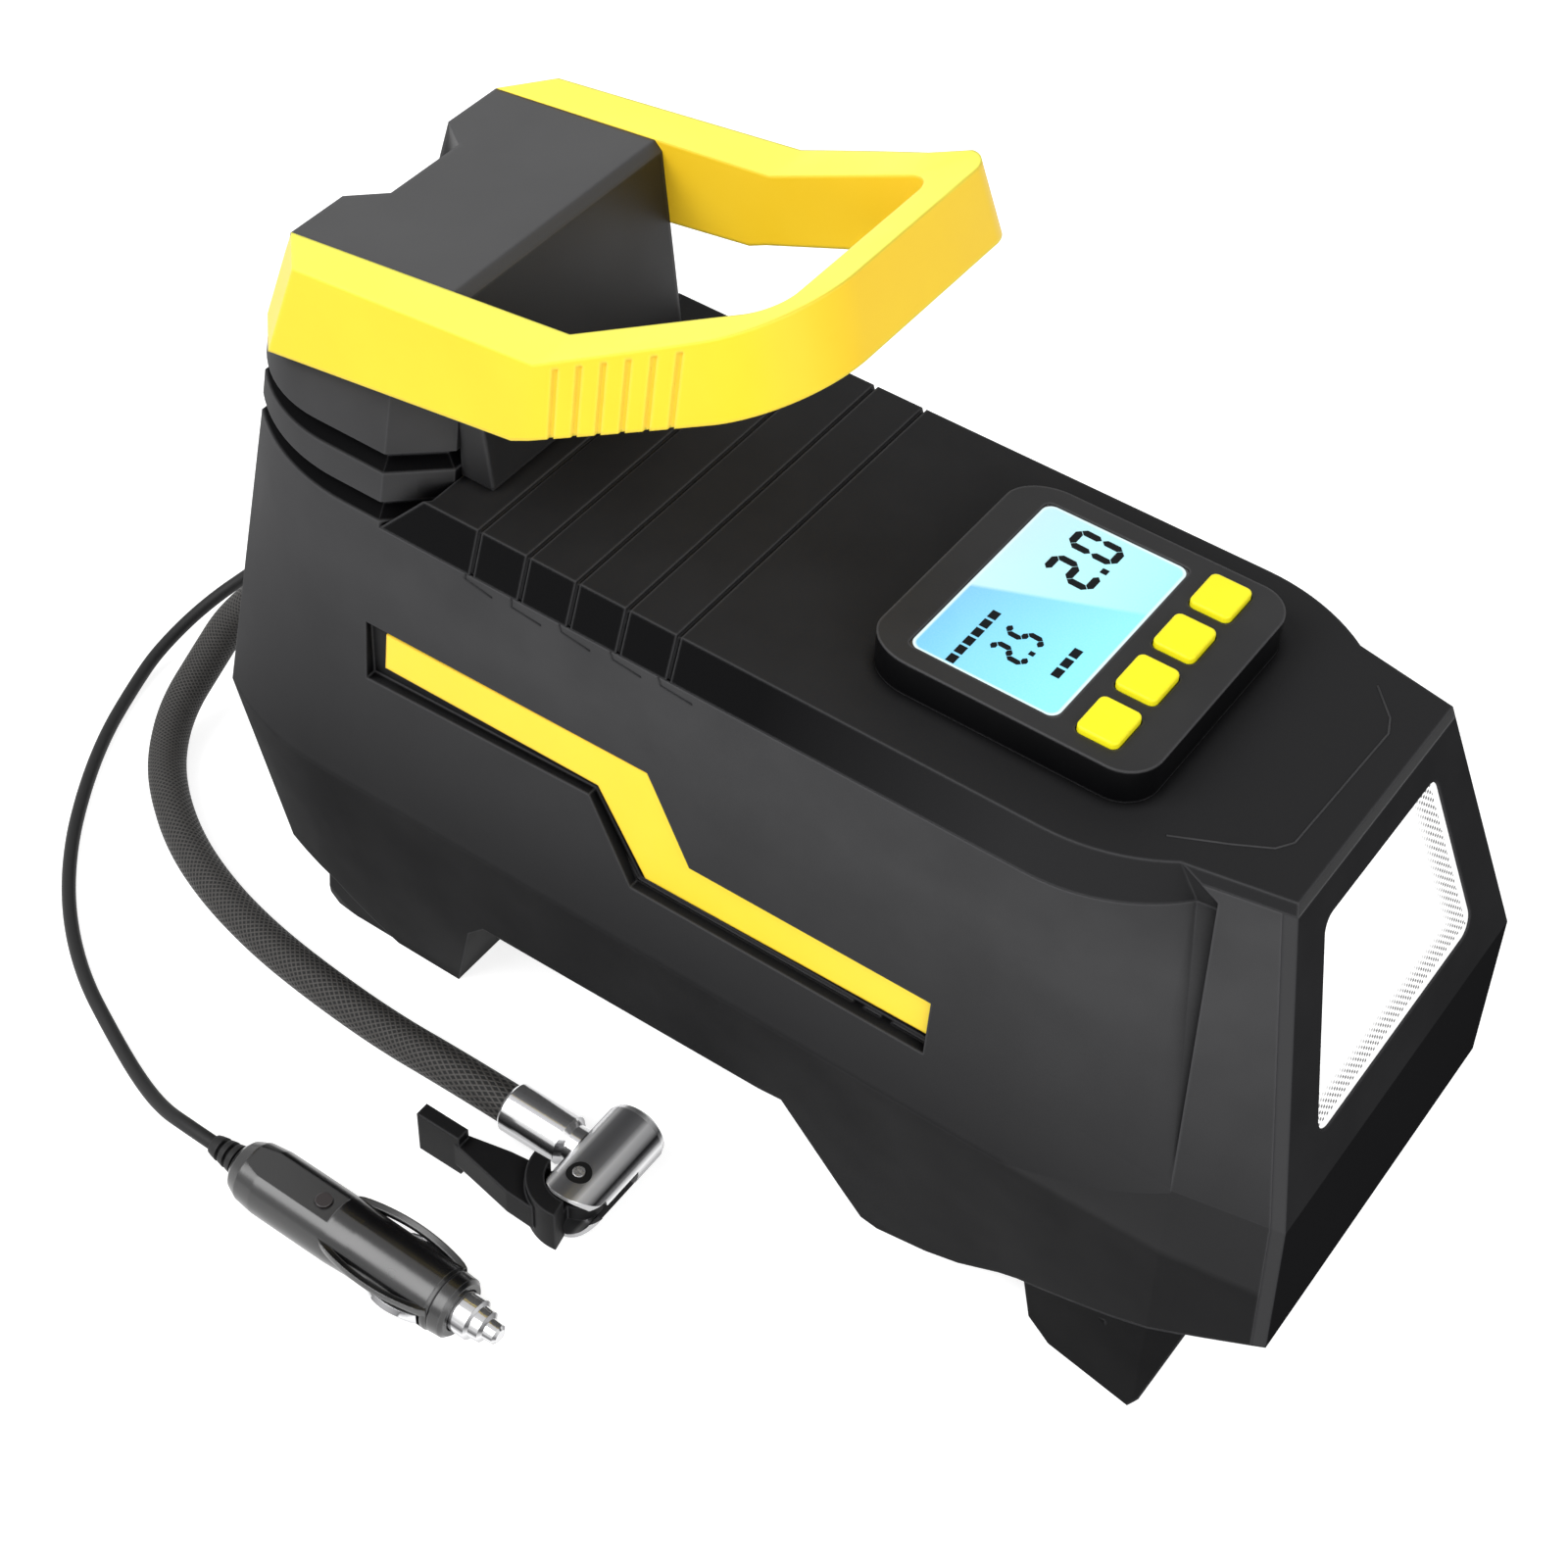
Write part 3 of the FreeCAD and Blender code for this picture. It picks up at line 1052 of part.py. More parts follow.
nodes["outlet_tube"] = line_through("outlet_tube", [
    ("pistonPlace - 18.5", "0", f"{head_low} + 6.5"), ("34", "0", f"{head_low} + 6.5"),
    ("14", "7", "127"), ("-12", "15", "118"), ("-38", "20", "106"), ("-62", "20", "88"),
    ("-86", "15", "66"), ("-105", "hoseGlandSide + 0.5", "48"),
    ("-117", "hoseGlandSide", "glandHeight"), ("-128.5", "hoseGlandSide", "glandHeight")],
    "airTubeRadius")
nodes["power_wires"] = line_through("power_wires", [
    ("-128.5", "cordGlandSide", "glandHeight"), ("-119", "cordGlandSide", "glandHeight"),
    ("-106", "30", "52"), ("-97", "33", "72"), ("-84", "35", "96"), ("-62", "35", "119"),
    ("-34", "33", "136"), ("-4", "29", "145"), ("24", "22", "148"), ("39", "18", "152"),
    ("39", "18", "deckTop")], "wireRadius")
nodes["hose_gland"] = put(turned("hose_gland", [
    ("-glandFace", "2.5"), ("-glandFace", "6.98"), ("-131.8", "6.98"), ("-131.8", "8.4"),
    ("-128.5", "8.4"), ("-128.5", "2.5")]), ("0", "hoseGlandSide", "glandHeight"))
nodes["cord_gland"] = put(turned("cord_gland", [
    ("-glandFace", "0.8"), ("-glandFace", "4.98"), ("-131.8", "4.98"), ("-131.8", "6.2"),
    ("-128.5", "6.2"), ("-128.5", "0.8")]), ("0", "cordGlandSide", "glandHeight"))
nodes["hose_boot"] = put(turned("hose_boot", [
    ("-hoseGlandEnd", "2.5"), ("-hoseGlandEnd", "hoseRadius + 0.5"),
    ("-hoseGlandEnd + 3", "6.4"), ("-glandFace", "6.9"), ("-glandFace", "2.5")]),
    ("0", "hoseGlandSide", "glandHeight"))
nodes["cord_boot"] = put(turned("cord_boot", [
    ("-cordGlandEnd", "0.8"), ("-cordGlandEnd", "cordRadius + 0.6"), ("-glandFace", "4.6"),
    ("-glandFace", "0.8")]), ("0", "cordGlandSide", "glandHeight"))

# Chuck with its lever

nodes["hose_ferrule"] = put(turned("hose_ferrule", [
    ("-ferruleRear", "2.5"), ("-ferruleRear", "5.6"), ("-ferruleRear + 0.8", "ferruleRadius"),
    ("-23", "ferruleRadius"), ("-21.5", "4.9"), ("-chuckCentre - chuckRadius + 1.4", "4.9"),
    ("-chuckCentre - chuckRadius + 1.4", "2.5")]), ("0", "-ferruleSide", "chuckHeight"))
chuck_length = "(chuckNear - chuckFar)"
inner_wall = "(chuckRadius - chuckSheet)"
sleeve = put(turned("chuckSleeve", [
    ("0", inner_wall), (f"{chuck_length} - 1.8", inner_wall),
    (f"{chuck_length} - 1.8", "valveBore"), (chuck_length, "valveBore"),
    (chuck_length, "chuckRadius - 1.8"), (f"{chuck_length} - 0.9", "chuckRadius - 0.6"),
    (f"{chuck_length} - 2.5", "chuckRadius"), ("0", "chuckRadius")]),
    ("-chuckCentre", "-chuckNear", "chuckHeight"), rod_to_y)
near_end = cut("nearEnd", box("nearBox", "-chuckCentre - 10", "-chuckNear - 2", "-2",
                              "-chuckCentre + 10", "-leverPinSide", "20"),
               rod("nearRound", ("-chuckCentre", "-leverPinSide", "-3"),
                   "chuckRadius - 0.4", "24"))
lever_way = box("leverWay", "-chuckCentre - 10", "-chuckNear - 2", "chuckHeight - 2.8",
                "-chuckCentre + 10", "-leverPinSide + 0.3", "chuckHeight + 2.8")
side_slot = box("chuckSlot", "-chuckCentre + 2", "-leverPinSide - 1", "chuckHeight - 4.4",
                "-chuckCentre + 10", "-66.5", "chuckHeight + 1.2")
ferrule_hole = rod("ferruleHole", ("-chuckCentre - 12", "-ferruleSide", "chuckHeight"),
                   "4.9", "8", to_x)
pin_hole = rod("pinHole", ("-chuckCentre", "-leverPinSide", "-3"), "leverPinRadius", "24")
nodes["chuck_body"] = cut("chuck_body", sleeve, near_end, lever_way, side_slot, ferrule_hole,
                          pin_hole)
nodes["chuck_seal"] = put(turned("chuck_seal", [
    ("23.1", "1.5"), ("26", "1.5"), ("26", "valveBore"), (f"{chuck_length} - 1.8", "valveBore"),
    (f"{chuck_length} - 1.8", inner_wall), ("23.1", inner_wall)]),
    ("-chuckCentre", "-chuckNear", "chuckHeight"), rod_to_y)
pin_place = ("-chuckCentre", "-leverPinSide", "chuckHeight - 2.4")
jaw = rod("leverJaw", pin_place, "6.1", "4.8")
cam = cut("leverCam", rod("camOuter", ("-chuckCentre", "-leverPinSide", "chuckHeight - 6.9"),
                          "12.4", "13.6"),
          rod("camInner", ("-chuckCentre", "-leverPinSide", "0"), "chuckRadius - 0.1", "20"))
web = rod("leverWeb", pin_place, "8.6", "4.8")
sector = [("-chuckCentre", "-leverPinSide - 0.2"), ("-chuckCentre - 20", "-leverPinSide - 0.9"),
          ("-chuckCentre - 20", "-leverPinSide - 20"), ("-chuckCentre + 4", "-leverPinSide - 20")]
arm = plate("leverArm", "XY", [
    ("-22", "-80"), ("-30", "-81"), ("-42", "-83.6"), ("-42", "-87.2"), ("-34", "-88.6"),
    ("-24", "-90.4"), ("-16", "-90.6"), ("-20", "-86")], "chuckHeight - 4.2", "8")
tab = box("leverTab", "-53", "-87.2", "chuckHeight - 7", "-40.5", "-83.6", "chuckHeight + 6.6")
nodes["chuck_lever"] = cut(
    "chuck_lever", fuse("leverForm", jaw, common(
        "leverSector", fuse("camAndWeb", cam, web),
        plate("sectorSide", "XY", sector, "0", "20")), arm, tab),
    rod("leverBore", ("-chuckCentre", "-leverPinSide", "0"), "leverPinRadius + 0.3", "20"))
nodes["lever_pin"] = rod("lever_pin", ("-chuckCentre", "-leverPinSide",
                                       "chuckHeight - chuckRadius + 0.1"),
                         "leverPinRadius", "2 * chuckRadius + 0.2")

# Accessory plug, along its own X axis


def on_plug(item, turn=None):
    put(item, ("-plugRear", "-plugSide", "plugHeight"),
        Rotation(Vector(0, 0, 1), size("plugTurn")))
    return item


def plug_box(label, x0, y0, z0, x1, y1, z1):
    body = plate(label, "XY", rectangle(x0, y0, x1, y1), z0, f"{z1} - ({z0})")
    return on_plug(body)


relief = [("0", "0"), ("0", "2.4")]
for n in range(3):
    at = 1 + 2.5 * n
    wide = 2.7 + 0.35 * n
    relief += [(f"{at}", f"{wide}"), (f"{at + 1.5}", f"{wide + 0.3}"),
               (f"{at + 1.5}", f"{wide - 0.9}"), (f"{at + 2.3}", f"{wide - 0.8}")]
relief += [("8.5", "3.4"), ("8.5", "0")]
nodes["plug_relief"] = on_plug(turned("plug_relief", relief))
grip = on_plug(turned("plugForm", [
    ("8.5", "0"), ("8.5", "4.6"), ("10", "6.4"), ("13", "7.7"), ("18", "plugGripRadius"),
    ("40", "plugGripRadius"), ("46", "plugBarrelRadius"), ("69.7", "plugBarrelRadius"),
    ("70.5", "plugBarrelRadius - 0.6"), ("70.5", "plugTipRadius + plugFit"),
    ("63.5", "plugTipRadius + plugFit"), ("63.5", "0")]))
flat = plug_box("plugFlat", "13", "-12", "plugGripRadius - 1", "39", "12", "plugGripRadius + 2")
slots = [plug_box(f"plugSlot{side}", "52", low, "-contactWide / 2 - plugFit", "69", high,
                  "contactWide / 2 + plugFit")
         for side, low, high in (("Left", "5.9", "14"), ("Right", "-14", "-5.9"))]
lamp = plate("plug_lamp", "XY", rectangle("32.6", "-2", "36.6", "2"), "plugGripRadius - 2", "1.6")
soften(lamp, "1.9", along_z)
on_plug(lamp)
nodes["plug_lamp"] = lamp
nodes["plug_body"] = cut("plug_body", grip, flat, *slots, lamp)
nodes["plug_ring"] = on_plug(turned("plug_ring", [
    ("70.5", "plugTipRadius + plugFit"), ("70.5", "plugBarrelRadius - 0.6"),
    ("71", "plugBarrelRadius - 0.3"), ("73.8", "plugBarrelRadius - 0.5"),
    ("74.7", "plugBarrelRadius - 1.4"), ("74.7", "plugTipRadius + plugFit")]))
nodes["plug_tip"] = on_plug(turned("plug_tip", [
    ("66.5", "0"), ("66.5", "plugTipRadius"), ("79", "plugTipRadius"),
    ("79.6", "plugTipRadius - 1"), ("82", "plugTipRadius - 1.2"), ("82.6", "2.6"),
    ("85.2", "2.4"), ("85.8", "1.6"), ("85.8", "0")]))
for side, sign in (("left", ""), ("right", "-")):
    corners = [("52.6", f"{sign}7.3"), ("68.4", f"{sign}7.3"), ("68.4", f"{sign}7.9"),
               ("63.5", f"{sign}10.4"), ("57.5", f"{sign}10.4"), ("52.6", f"{sign}7.9")]
    nodes[f"plug_contact_{side}"] = on_plug(plate(
        f"plug_contact_{side}", "XY", corners, "-contactWide / 2", "contactWide"))

# Checks and files

doc.recompute()
for item in doc.Objects:
    if "Invalid" in item.State or "Error" in item.State:
        raise RuntimeError(f"{item.Label} has state {item.State}")
os.makedirs("parts", exist_ok=True)
for name, item in nodes.items():
    shape = item.Shape
    if shape.isNull() or not shape.isValid():
        raise RuntimeError(f"{name} is not a valid shape")
    if len(shape.Solids) != {"case_screws": 6, "rubber_pads": 4}.get(name, 1):
        print("note:", name, "has", len(shape.Solids), "solids")
    shape.exportStep(f"parts/{name}.step")
print(len(nodes), "nodes written")
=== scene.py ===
import json
import math

import bpy
from mathutils import Matrix, Vector


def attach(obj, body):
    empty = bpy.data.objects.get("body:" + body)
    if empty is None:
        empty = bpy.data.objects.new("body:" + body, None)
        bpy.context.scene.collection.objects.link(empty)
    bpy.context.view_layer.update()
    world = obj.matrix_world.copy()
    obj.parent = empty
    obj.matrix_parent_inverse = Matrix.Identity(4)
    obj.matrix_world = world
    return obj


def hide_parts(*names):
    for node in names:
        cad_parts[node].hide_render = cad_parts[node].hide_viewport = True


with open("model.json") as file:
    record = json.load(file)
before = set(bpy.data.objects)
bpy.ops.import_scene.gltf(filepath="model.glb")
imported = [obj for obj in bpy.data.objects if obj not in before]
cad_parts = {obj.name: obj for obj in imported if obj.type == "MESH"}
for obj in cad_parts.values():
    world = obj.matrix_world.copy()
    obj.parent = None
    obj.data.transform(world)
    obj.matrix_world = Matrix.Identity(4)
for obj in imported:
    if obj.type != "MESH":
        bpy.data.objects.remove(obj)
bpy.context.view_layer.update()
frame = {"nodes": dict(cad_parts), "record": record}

scene = bpy.context.scene
nodes = frame["nodes"]
mm = 0.001

# camera at the photograph's angle

camera = {
    "place": (0.2323, -0.3766, 0.5597),
    "right": (0.81626, 0.5766, 0.03557),
    "up": (-0.44176, 0.58333, 0.68159),
    "back": (0.37226, -0.57207, 0.73087),
    "lens": 66.18,
    "sensor": 36,
    "near": 0.02,
}


def placeCamera(settings):
    data = bpy.data.cameras.new("photoCamera")
    data.lens = settings["lens"]
    data.sensor_width = settings["sensor"]
    data.clip_start = settings["near"]
    body = bpy.data.objects.new("photoCamera", data)
    scene.collection.objects.link(body)
    turn = Matrix((settings["right"], settings["up"], settings["back"])).transposed()
    body.matrix_world = Matrix.Translation(settings["place"]) @ turn.to_4x4()
    scene.camera = body


placeCamera(camera)
print("camera placed")


# node helpers for the materials

# limits for the masks of painted edge light, crease shade and top light
shading = {
    "rays": 6, "edgeFrom": (0.995, 0.90), "creaseFrom": (0.92, 0.45), "topFrom": (0.3, 0.9),
    "spread": (0.3, 0.7),
}


def srgb(text):
    out = []
    for at in (0, 2, 4):
        share = int(text[at:at + 2], 16) / 255
        out.append(share / 12.92 if share <= 0.04045 else ((share + 0.055) / 1.055) ** 2.4)
    return out


def newMaterial(name):
    material = bpy.data.materials.new(name)
    material.use_nodes = True
    tree = material.node_tree
    return material, tree, tree.nodes["Principled BSDF"]


def addNode(tree, kind, **values):
    node = tree.nodes.new(kind)
    for key, value in values.items():
        if hasattr(node, key):
            setattr(node, key, value)
        else:
            node.inputs[key].default_value = value
    return node


def sums(tree, operation, *terms):
    node = addNode(tree, "ShaderNodeMath", operation=operation)
    for socket, term in zip(node.inputs, terms):
        if isinstance(term, (int, float)):
            socket.default_value = term
        else:
            tree.links.new(term, socket)
    return node.outputs[0]


def blend(tree, amount, low, high):
    node = addNode(tree, "ShaderNodeMix", data_type="RGBA")
    tree.links.new(amount, node.inputs[0])
    for at, colour in ((6, low), (7, high)):
        if isinstance(colour, str):
            node.inputs[at].default_value = (*srgb(colour), 1)
        else:
            tree.links.new(colour, node.inputs[at])
    return node.outputs[2]


def stretch(tree, value, low, high, toLow=0.0, toHigh=1.0):
    node = addNode(tree, "ShaderNodeMapRange")
    for socket, number in (("From Min", low), ("From Max", high),
                           ("To Min", toLow), ("To Max", toHigh)):
        node.inputs[socket].default_value = number
    tree.links.new(value, node.inputs["Value"])
    return node.outputs["Result"]


def split(tree, vector):
    node = addNode(tree, "ShaderNodeSeparateXYZ")
    tree.links.new(vector, node.inputs[0])
    return node.outputs


def distance(tree, x, y):
    squares = [sums(tree, "MULTIPLY", side, side) for side in (x, y)]
    return sums(tree, "SQRT", sums(tree, "ADD", *squares))


def objectPlace(tree):
    return addNode(tree, "ShaderNodeTexCoord").outputs["Object"]


def flatNormal(tree):
    return addNode(tree, "ShaderNodeNewGeometry").outputs["Normal"]


def softNormal(tree, radius):
    node = addNode(tree, "ShaderNodeBevel", samples=shading["rays"], Radius=radius)
    return node.outputs["Normal"]


def noise(tree, size, detail=3.0):
    node = addNode(tree, "ShaderNodeTexNoise", Scale=1 / size, Detail=detail)
    tree.links.new(objectPlace(tree), node.inputs["Vector"])
    return node.outputs["Fac"]


# mask for painted highlight and shade on edges, where the rounded normal leaves the flat one
def edgeWear(tree, rounded):
    turn = addNode(tree, "ShaderNodeVectorMath", operation="DOT_PRODUCT")
    tree.links.new(flatNormal(tree), turn.inputs[0])
    tree.links.new(rounded, turn.inputs[1])
    return stretch(tree, turn.outputs["Value"], *shading["edgeFrom"])


def upward(tree, low, high):
    return stretch(tree, split(tree, flatNormal(tree))["Z"], low, high)


def bump(tree, shader, height, depth, strength, normal=None):
    node = addNode(tree, "ShaderNodeBump", Strength=strength, Distance=depth)
    tree.links.new(height, node.inputs["Height"])
    if normal:
        tree.links.new(normal, node.inputs["Normal"])
    tree.links.new(node.outputs["Normal"], shader.inputs["Normal"])


# what a plastic has unless its own look says otherwise
# the edge, underside, crease, fade and facing values below set painted light and shade
moulded = {
    "edgeRadius": 0.9 * mm, "mottleSize": 25 * mm, "mottleFrom": (0.35, 0.65),
    "grainSize": 0.35 * mm, "grainDepth": 0.1 * mm, "grain": 0.15, "wear": 0.6,
    "underFrom": (0.04, -0.14), "creaseSize": 6 * mm, "fades": (), "facing": (), "grooves": (),
    "grooveEdge": 0.4 * mm, "groovesEdge": 0.5 * mm, "roughness": 0.5, "roughnessSpread": 0.05,
    "specular": 0.3, "coat": 0.0, "coatRoughness": 0.1,
}


def plastic(name, ownLook):
    look = {**moulded, **ownLook}
    material, tree, shader = newMaterial(name)
    rounded = softNormal(tree, look["edgeRadius"])
    broad = noise(tree, look["mottleSize"])
    grain = noise(tree, look["grainSize"])
    colour = blend(tree, stretch(tree, broad, *look["mottleFrom"]), look["colour"],
                   look["second"])
    # painted shade: faces that look down, or sideways where a look sets higher limits, go towards
    # the darker underside colour
    if "under" in look:
        colour = blend(tree, upward(tree, *look["underFrom"]), colour, look["under"])
    # painted shade and light: colour graded by position along an axis and by which way a face
    # looks
    for vector, changes in ((objectPlace, look["fades"]), (flatNormal, look["facing"])):
        for axis, start, end, other in changes:
            amount = stretch(tree, split(tree, vector(tree))[axis], start, end)
            colour = blend(tree, amount, colour, other)
    # painted shade: dark bands at the given heights stand for the shade inside the rear grooves
    for middle, half in look["grooves"]:
        place = split(tree, objectPlace(tree))
        gap = sums(tree, "ABSOLUTE", sums(tree, "SUBTRACT", place["Z"], middle))
        gap = stretch(tree, gap, half, half - look["grooveEdge"])
        rear = stretch(tree, place["X"], look["groovesFrom"],
                       look["groovesFrom"] - look["groovesEdge"])
        colour = blend(tree, sums(tree, "MULTIPLY", gap, rear), colour, look["groove"])
    # painted shade: creases and hollows found by ambient occlusion turn darker
    if "crease" in look:
        shade = addNode(tree, "ShaderNodeAmbientOcclusion", samples=shading["rays"],
                        Distance=look["creaseSize"])
        colour = blend(tree, stretch(tree, shade.outputs["AO"], *shading["creaseFrom"]), colour,
                       look["crease"])
    # painted light: faces that look up turn towards the lighter top colour
    if "top" in look:
        colour = blend(tree, upward(tree, *shading["topFrom"]), colour, look["top"])
    # painted highlight and shade: edges blend towards the look's edge colour, lighter or darker
    # by the look
    if "worn" in look:
        amount = sums(tree, "MULTIPLY", edgeWear(tree, rounded), look["wear"])
        colour = blend(tree, amount, colour, look["worn"])
    tree.links.new(colour, shader.inputs["Base Color"])
    rough = stretch(tree, broad, *shading["spread"], look["roughness"] - look["roughnessSpread"],
                    look["roughness"] + look["roughnessSpread"])
    tree.links.new(rough, shader.inputs["Roughness"])
    bump(tree, shader, grain, look["grainDepth"], look["grain"], rounded)
    shader.inputs["Specular IOR Level"].default_value = look["specular"]
    shader.inputs["Coat Weight"].default_value = look["coat"]
    shader.inputs["Coat Roughness"].default_value = look["coatRoughness"]
    return material


# in every look the edge colour is a painted highlight where lighter and painted shade where
# darker
plastics = {
    # caseGrey: painted shade on downward faces, darker towards the bottom, in creases and in two
    # rear grooves
    "caseGrey": {
        "colour": "3a3a3b", "second": "404041", "worn": "525254", "under": "101011",
        "fades": [("Z", 0.135, 0.072, "272728"), ("Z", 0.0700, 0.0675, "171718")],
        "crease": "030304", "grooves": [(0.166, 0.0024), (0.1547, 0.0024)],
        "groovesFrom": -0.0700, "groove": "060607", "roughness": 0.58, "grain": 0.3,
        "specular": 0.03},
    # trimBlack: painted shade on downward faces and in creases
    "trimBlack": {
        "colour": "151516", "second": "19191a", "worn": "565658", "under": "0a0a0b",
        "crease": "020203", "creaseSize": 3 * mm, "wear": 0.4, "roughness": 0.46,
        "grain": 0.25, "specular": 0.05},
    # deckBlack: painted shade on the side band, in creases and towards the rear, lighter towards
    # the front
    "deckBlack": {
        "colour": "202021", "second": "252526", "worn": "606062", "under": "040405",
        "underFrom": (0.75, 0.4), "fades": [("X", 0.010, 0.070, "232324")],
        "crease": "020203", "creaseSize": 3 * mm, "wear": 0.4, "grain": 0.25,
        "specular": 0.05},
    # skidBlack: painted highlight on the faces that look forward
    "skidBlack": {
        "colour": "030304", "second": "070708", "worn": "565658",
        "facing": [("X", 0.3, 0.6, "6c6c6d")], "wear": 0.5, "roughness": 0.6, "grain": 0.3,
        "specular": 0.03},
    # bezelBlack: painted shade on faces that don't look up, painted light on the side faces
    "bezelBlack": {
        "colour": "252526", "second": "29292a", "worn": "3c3c3e",
        "facing": [("Z", 0.16, 0.10, "1a1a1b"), ("X", 0.7, 0.4, "3c3c3d")],
        "roughness": 0.7, "grain": 0.25, "specular": 0.0},
    # blockBlack: painted light on the top
    "blockBlack": {
        "colour": "1b1b1c", "second": "202021", "worn": "454547", "top": "424243",
        "grain": 0.25, "edgeRadius": 1.5 * mm},
    # yellow: painted light on the top
    "yellow": {
        "colour": "f9cd26", "second": "fbd12d", "worn": "fff45e", "top": "fffa58",
        "roughness": 0.42, "grain": 0.05, "edgeRadius": 1.2 * mm},
    "stripeYellow": {
        "colour": "f8d832", "second": "fbdc3a", "worn": "d9981c", "roughness": 0.42,
        "grain": 0.05, "edgeRadius": 0.8 * mm},
    "keyYellow": {
        "colour": "f8ec18", "second": "fcf122", "worn": "d8b414", "roughness": 0.38,
        "grain": 0.04, "edgeRadius": 0.6 * mm, "wear": 0.5},
    # displayBlack: painted shade on the walls and on downward faces
    "displayBlack": {
        "colour": "252526", "second": "2b2b2c", "worn": "58585a", "under": "040405",
        "underFrom": (0.6, 0.2), "roughness": 0.42, "specular": 0.16},
    "rubber": {
        "colour": "101011", "second": "151516", "worn": "39393a", "roughness": 0.55,
        "grain": 0.25, "edgeRadius": 0.5 * mm},
    "plugBlack": {
        "colour": "0e0e0f", "second": "131314", "worn": "58585a", "roughness": 0.26,
        "grain": 0.05, "specular": 0.8, "edgeRadius": 0.5 * mm},
    "lampDark": {
        "colour": "160c0d", "second": "1c1011", "worn": "505052", "roughness": 0.2,
        "grain": 0.02, "edgeRadius": 0.5 * mm, "coat": 0.5},
    "nylon": {"colour": "dcd9d0", "second": "e3e0d8", "worn": "eeece6"},
    "board": {
        "colour": "1c5a34", "second": "174c2c", "worn": "b59a52", "mottleSize": 2 * mm,
        "roughness": 0.4},
    "wireRed": {
        "colour": "9c1818", "second": "a82020", "worn": "c04040", "roughness": 0.4,
        "coat": 0.3},
    "lcdInk": {
        "colour": "060a0d", "second": "0a0f13", "roughness": 0.4, "grain": 0.05,
        "specular": 0.1, "edgeRadius": 0.05 * mm},
}

# what a metal has unless its own look says otherwise
machined = {
    "edgeRadius": 0.3 * mm, "grainSize": 0.5 * mm, "grainDetail": 4.0, "grainDepth": 0.05 * mm,
    "grain": 0.03, "metallic": 0.85, "smoother": 0.7, "rougher": 1.3,
}


def pivotSeat(tree, seat):
    # painted shade: dark round seat around the lever's pin, standing for the shade in its recess
    place = split(tree, objectPlace(tree))
    x, y = seat["place"]
    reach = distance(tree, sums(tree, "SUBTRACT", place["X"], x),
                     sums(tree, "SUBTRACT", place["Y"], y))
    disc = stretch(tree, reach, seat["radius"], seat["radius"] - seat["edge"])
    return sums(tree, "MULTIPLY", disc, sums(tree, "GREATER_THAN", place["Z"], seat["above"]))


def metal(name, ownLook):
    look = {**machined, **ownLook}
    material, tree, shader = newMaterial(name)
    rounded = softNormal(tree, look["edgeRadius"])
    fine = noise(tree, look["grainSize"], look["grainDetail"])
    # painted reflection: the colour follows which way a face looks
    ramp = addNode(tree, "ShaderNodeValToRGB")
    for at, (place, shade) in enumerate(look["bands"]):
        stops = ramp.color_ramp.elements
        stop = stops[at] if at < 2 else stops.new(place)
        stop.position = place
        stop.color = (*srgb(shade), 1)
    tree.links.new(upward(tree, -1.0, 1.0), ramp.inputs["Fac"])
    colour = ramp.outputs["Color"]
    rough = stretch(tree, fine, *shading["spread"], look["roughness"] * look["smoother"],
                    look["roughness"] * look["rougher"])
    # painted shade: the seat around the pin turns dark and duller
    if "seat" in look:
        inside = pivotSeat(tree, look["seat"])
        colour = blend(tree, inside, colour, look["seat"]["colour"])
        rough = sums(tree, "ADD", rough, sums(tree, "MULTIPLY", inside, look["seat"]["dull"]))
    tree.links.new(colour, shader.inputs["Base Color"])
    tree.links.new(rough, shader.inputs["Roughness"])
    bump(tree, shader, fine, look["grainDepth"], look["grain"], rounded)
    shader.inputs["Metallic"].default_value = look["metallic"]
    return material


# painted reflections: bands run from faces that look down to faces that look up
metals = {
    "chrome": {
        "bands": [(0.0, "5a5a5c"), (0.38, "b4b4b6"), (0.52, "e0e0e2"), (0.64, "4a4a4c"),
                  (0.72, "8e8e90"), (0.84, "efeff0"), (1.0, "c2c2c4")],
        "roughness": 0.14, "grain": 0.0},
    "chuckChrome": {
        "bands": [(0.0, "3a3a3c"), (0.45, "909092"), (0.6, "ececed"), (0.7, "5a5a5c"),
                  (0.78, "343436"), (0.86, "d8d8da"), (0.93, "f6f6f7"), (0.97, "88888a"),
                  (1.0, "68686a")],
        "roughness": 0.2, "grain": 0.0, "metallic": 0.6,
        "seat": {"place": (-0.012, -0.0785), "radius": 0.0032, "edge": 0.2 * mm,
                 "above": 0.010, "colour": "080809", "dull": 0.4}},
    "steel": {
        "bands": [(0.0, "6c6c6e"), (0.5, "9a9a9c"), (0.75, "7c7c7e"), (1.0, "bcbcbe")],
        "roughness": 0.3, "grain": 0.1},
    "alloy": {
        "bands": [(0.0, "8c8c8e"), (0.6, "a8a8aa"), (1.0, "cacacc")],
        "roughness": 0.45, "grain": 0.3, "grainSize": 0.8 * mm},
    "brass": {
        "bands": [(0.0, "8c7234"), (0.6, "b09046"), (1.0, "d6b868")],
        "roughness": 0.28},
}

